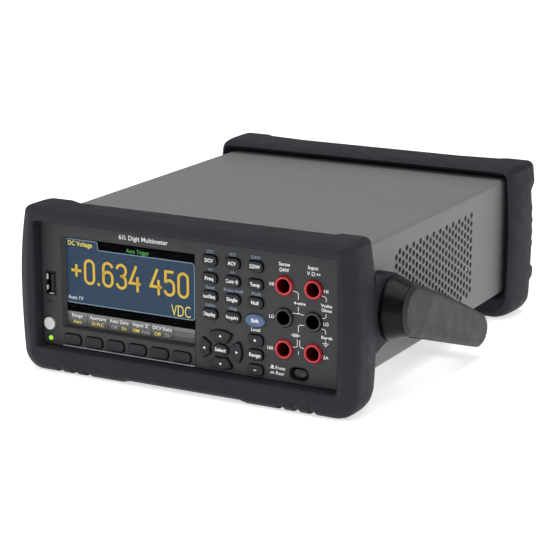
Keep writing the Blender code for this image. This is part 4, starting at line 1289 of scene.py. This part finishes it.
def make_rear_terminals(materials):
    """The second set of input terminals: a block with four sockets and their contacts."""
    back, face = depths("rear_terminal_block")
    middle, size, _ = node_frame("rear_terminal_block")
    sockets = [(middle[0] + dx, middle[1] + dz) for dx in (-TERMINAL_SPREAD, TERMINAL_SPREAD)
               for dz in (-TERMINAL_SPREAD, TERMINAL_SPREAD)]
    block = plate(opening(middle, size, 2.0, 4), [hole_shape(spot, 5.3, 32) for spot in sockets],
                  face, back, 0.3, 0.8)
    place("terminal_block_body", block, materials["moulding_grey"],
          replaces=["rear_terminal_block"])
    for number, spot in enumerate(sockets, 1):
        paint = "jack_red" if spot[1] > middle[1] else "jack_black"
        sleeve = turned([(radius, face - below) for radius, below in
                         ((4.2, 15.0), (4.2, 0.6), (4.5, 0.1), (4.9, 0.1), (5.1, 0.5), (5.1, 15.4),
                          (1.0, 15.4))], "Y", 32, spot)
        place(f"rear_socket_{number}", sleeve, materials[paint], smooth=40)
        pin = turned([(radius, face - below) for radius, below in
                      ((2.5, 14.9), (2.5, 4.0), (2.2, 3.7), (1.9, 4.0), (1.9, 14.9))], "Y", 20, spot)
        place(f"rear_socket_contact_{number}", pin, materials["gold"])


def make_coaxial(materials):
    """Round connectors: hexagonal nut, threaded barrel, bayonet lugs, insulator and centre pin."""
    def at_rear(profile):
        return [(radius, REAR_LEVEL + level) for radius, level in profile]

    thread = [(4.9 - 0.16 * (turn % 2), 8.0 - 0.42 * turn) for turn in range(11)]
    for name in COAXIAL:
        spot, _, _ = node_frame(name)
        profile = [(4.2, 5.0), (4.2, 11.8), (4.35, 12.0), (4.8, 12.0), (4.9, 11.8)] + thread
        profile += [(4.9, 3.2), (6.2, 3.2), (6.2, 1.8), (6.0, 1.8), (6.0, -8.0)]
        barrel = turned(at_rear(profile), "Y", 40, spot)
        nut = turned(at_rear([(6.6, 1.6), (6.95, 1.85), (6.95, 3.0), (6.5, 3.3)]), "Y", 6, spot)
        lugs = [turned([(0.9, spot[0] + side * 4.0), (0.9, spot[0] + side * 5.6)], "X", 12,
                       (REAR_LEVEL + 10.2, spot[1])) for side in (-1, 1)]
        place(f"{name}_barrel", merge([barrel, nut] + lugs), materials["plated"],
              replaces=[name], smooth=35)
        core = turned(at_rear([(4.1, 4.9), (4.1, 7.0), (2.4, 7.0), (2.4, 9.6), (1.1, 9.6), (1.1, 8.0)]),
                      "Y", 28, spot)
        place(f"{name}_insulator", core, materials["pale_print"])
        pin = turned(at_rear([(0.95, 7.9), (0.95, 10.2), (0.5, 10.4)]), "Y", 16, spot)
        place(f"{name}_pin", pin, materials["gold"])


def make_data_ports(materials):
    """The LAN and USB device ports, each a metal shell with what stands in it."""
    for name in ("lan_port", "usb_device_port"):
        spot, size, _ = node_frame(name)
        back, face = depths(name)
        shell = plate(opening(spot, size, 0.5, 3), [opening(spot, size, 0.5, 3, -2.8)], face, back + 1.2,
                      0.25, 0.25)
        end = prism(rounded(spot, size, 0.5, 3), back, back + 1.1)
        place(f"{name}_shell", merge([shell, end]), materials["plated"], replaces=[name])
        if name == "lan_port":
            fingers = [prism(rectangle(spot[0] + x - 0.25, spot[0] + x + 0.25, spot[1] + 2.0, spot[1] + 4.6),
                             back + 1.3, face - 1.6) for x in [-4.2 + 1.2 * step for step in range(8)]]
            place("lan_contacts", merge(fingers), materials["gold"])
            lamps = [prism(rounded((spot[0] + side * 5.7, spot[1] - 4.4), (1.2, 2.4), 0.3, 2),
                           back + 1.3, face - 0.4) for side in (-1, 1)]
            place("lan_lamps", merge(lamps), materials["lamp_green"])
        else:
            tongue = layered([(rounded(spot, (5.6 - cut, 3.4 - cut), 0.3, 2), level)
                              for cut, level in ((0.0, back + 1.2), (0.0, face - 1.4), (0.4, face - 1.0))])
            place("usb_device_tongue", tongue, materials["moulding"])


def make_rear_print(materials):
    """The rear panel's screws and the legends on it and on the terminal block."""
    face, block_face = depths("rear_panel")[1], depths("rear_terminal_block")[1]
    screws = merge([cross_screw(spot, face) for spot in REAR_SCREWS])
    place("rear_screws", screws, materials["steel"])
    for name, table, height, level, slot in (
            ("rear_legends", REAR_WORDS, 2.2, face, "rear_panel_paint"),
            ("terminal_legends", TERMINAL_WORDS, 2.0, block_face, "moulding_black")):
        letters = [text_body(text, height, (x, z), level + 0.03, width, rear=True)
                   for text, x, z, width in table]
        place(name, merge(letters), materials["white_print_painted_glow"])


# ---- what is carried over from the CAD model ----

CARRIED_OVER = {"chassis_tray": "chassis", "keypad_mat": "mat", "front_board": "board", "main_board": "board",
                "mains_transformer": "core"}


def make_bottom_screws(materials):
    bottom = corners("cover_sleeve")[0].z
    screws = [cross_screw((x, y), bottom, -1, "Z", 2.7) for x in (-80.0, 80.0) for y in (40.0, 215.0)]
    place("cover_screws", merge(screws), materials["steel"])


def repaint(node, material):
    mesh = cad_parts[node].data
    mesh.materials.clear()
    mesh.materials.append(material)


def paint_carried_over(materials):
    for node, material in CARRIED_OVER.items():
        repaint(node, materials[material])


def main():
    materials = make_materials()
    shapes = button_shapes()
    make_front_bumper(materials)
    make_rear_bumper(materials)
    make_cover(materials)
    make_handle(materials)
    make_hubs(materials)
    make_front_panel(materials, shapes)
    make_switch_cup(materials)
    make_buttons(materials, shapes)
    make_jacks(materials)
    make_ports_and_lamp(materials)
    make_display(materials)
    make_print(materials)
    make_rear_sheet(materials)
    make_inlet(materials)
    make_current_fuse(materials)
    make_rear_terminals(materials)
    make_coaxial(materials)
    make_data_ports(materials)
    make_rear_print(materials)
    make_bottom_screws(materials)
    paint_carried_over(materials)
    add_camera()
    add_studio()


main()
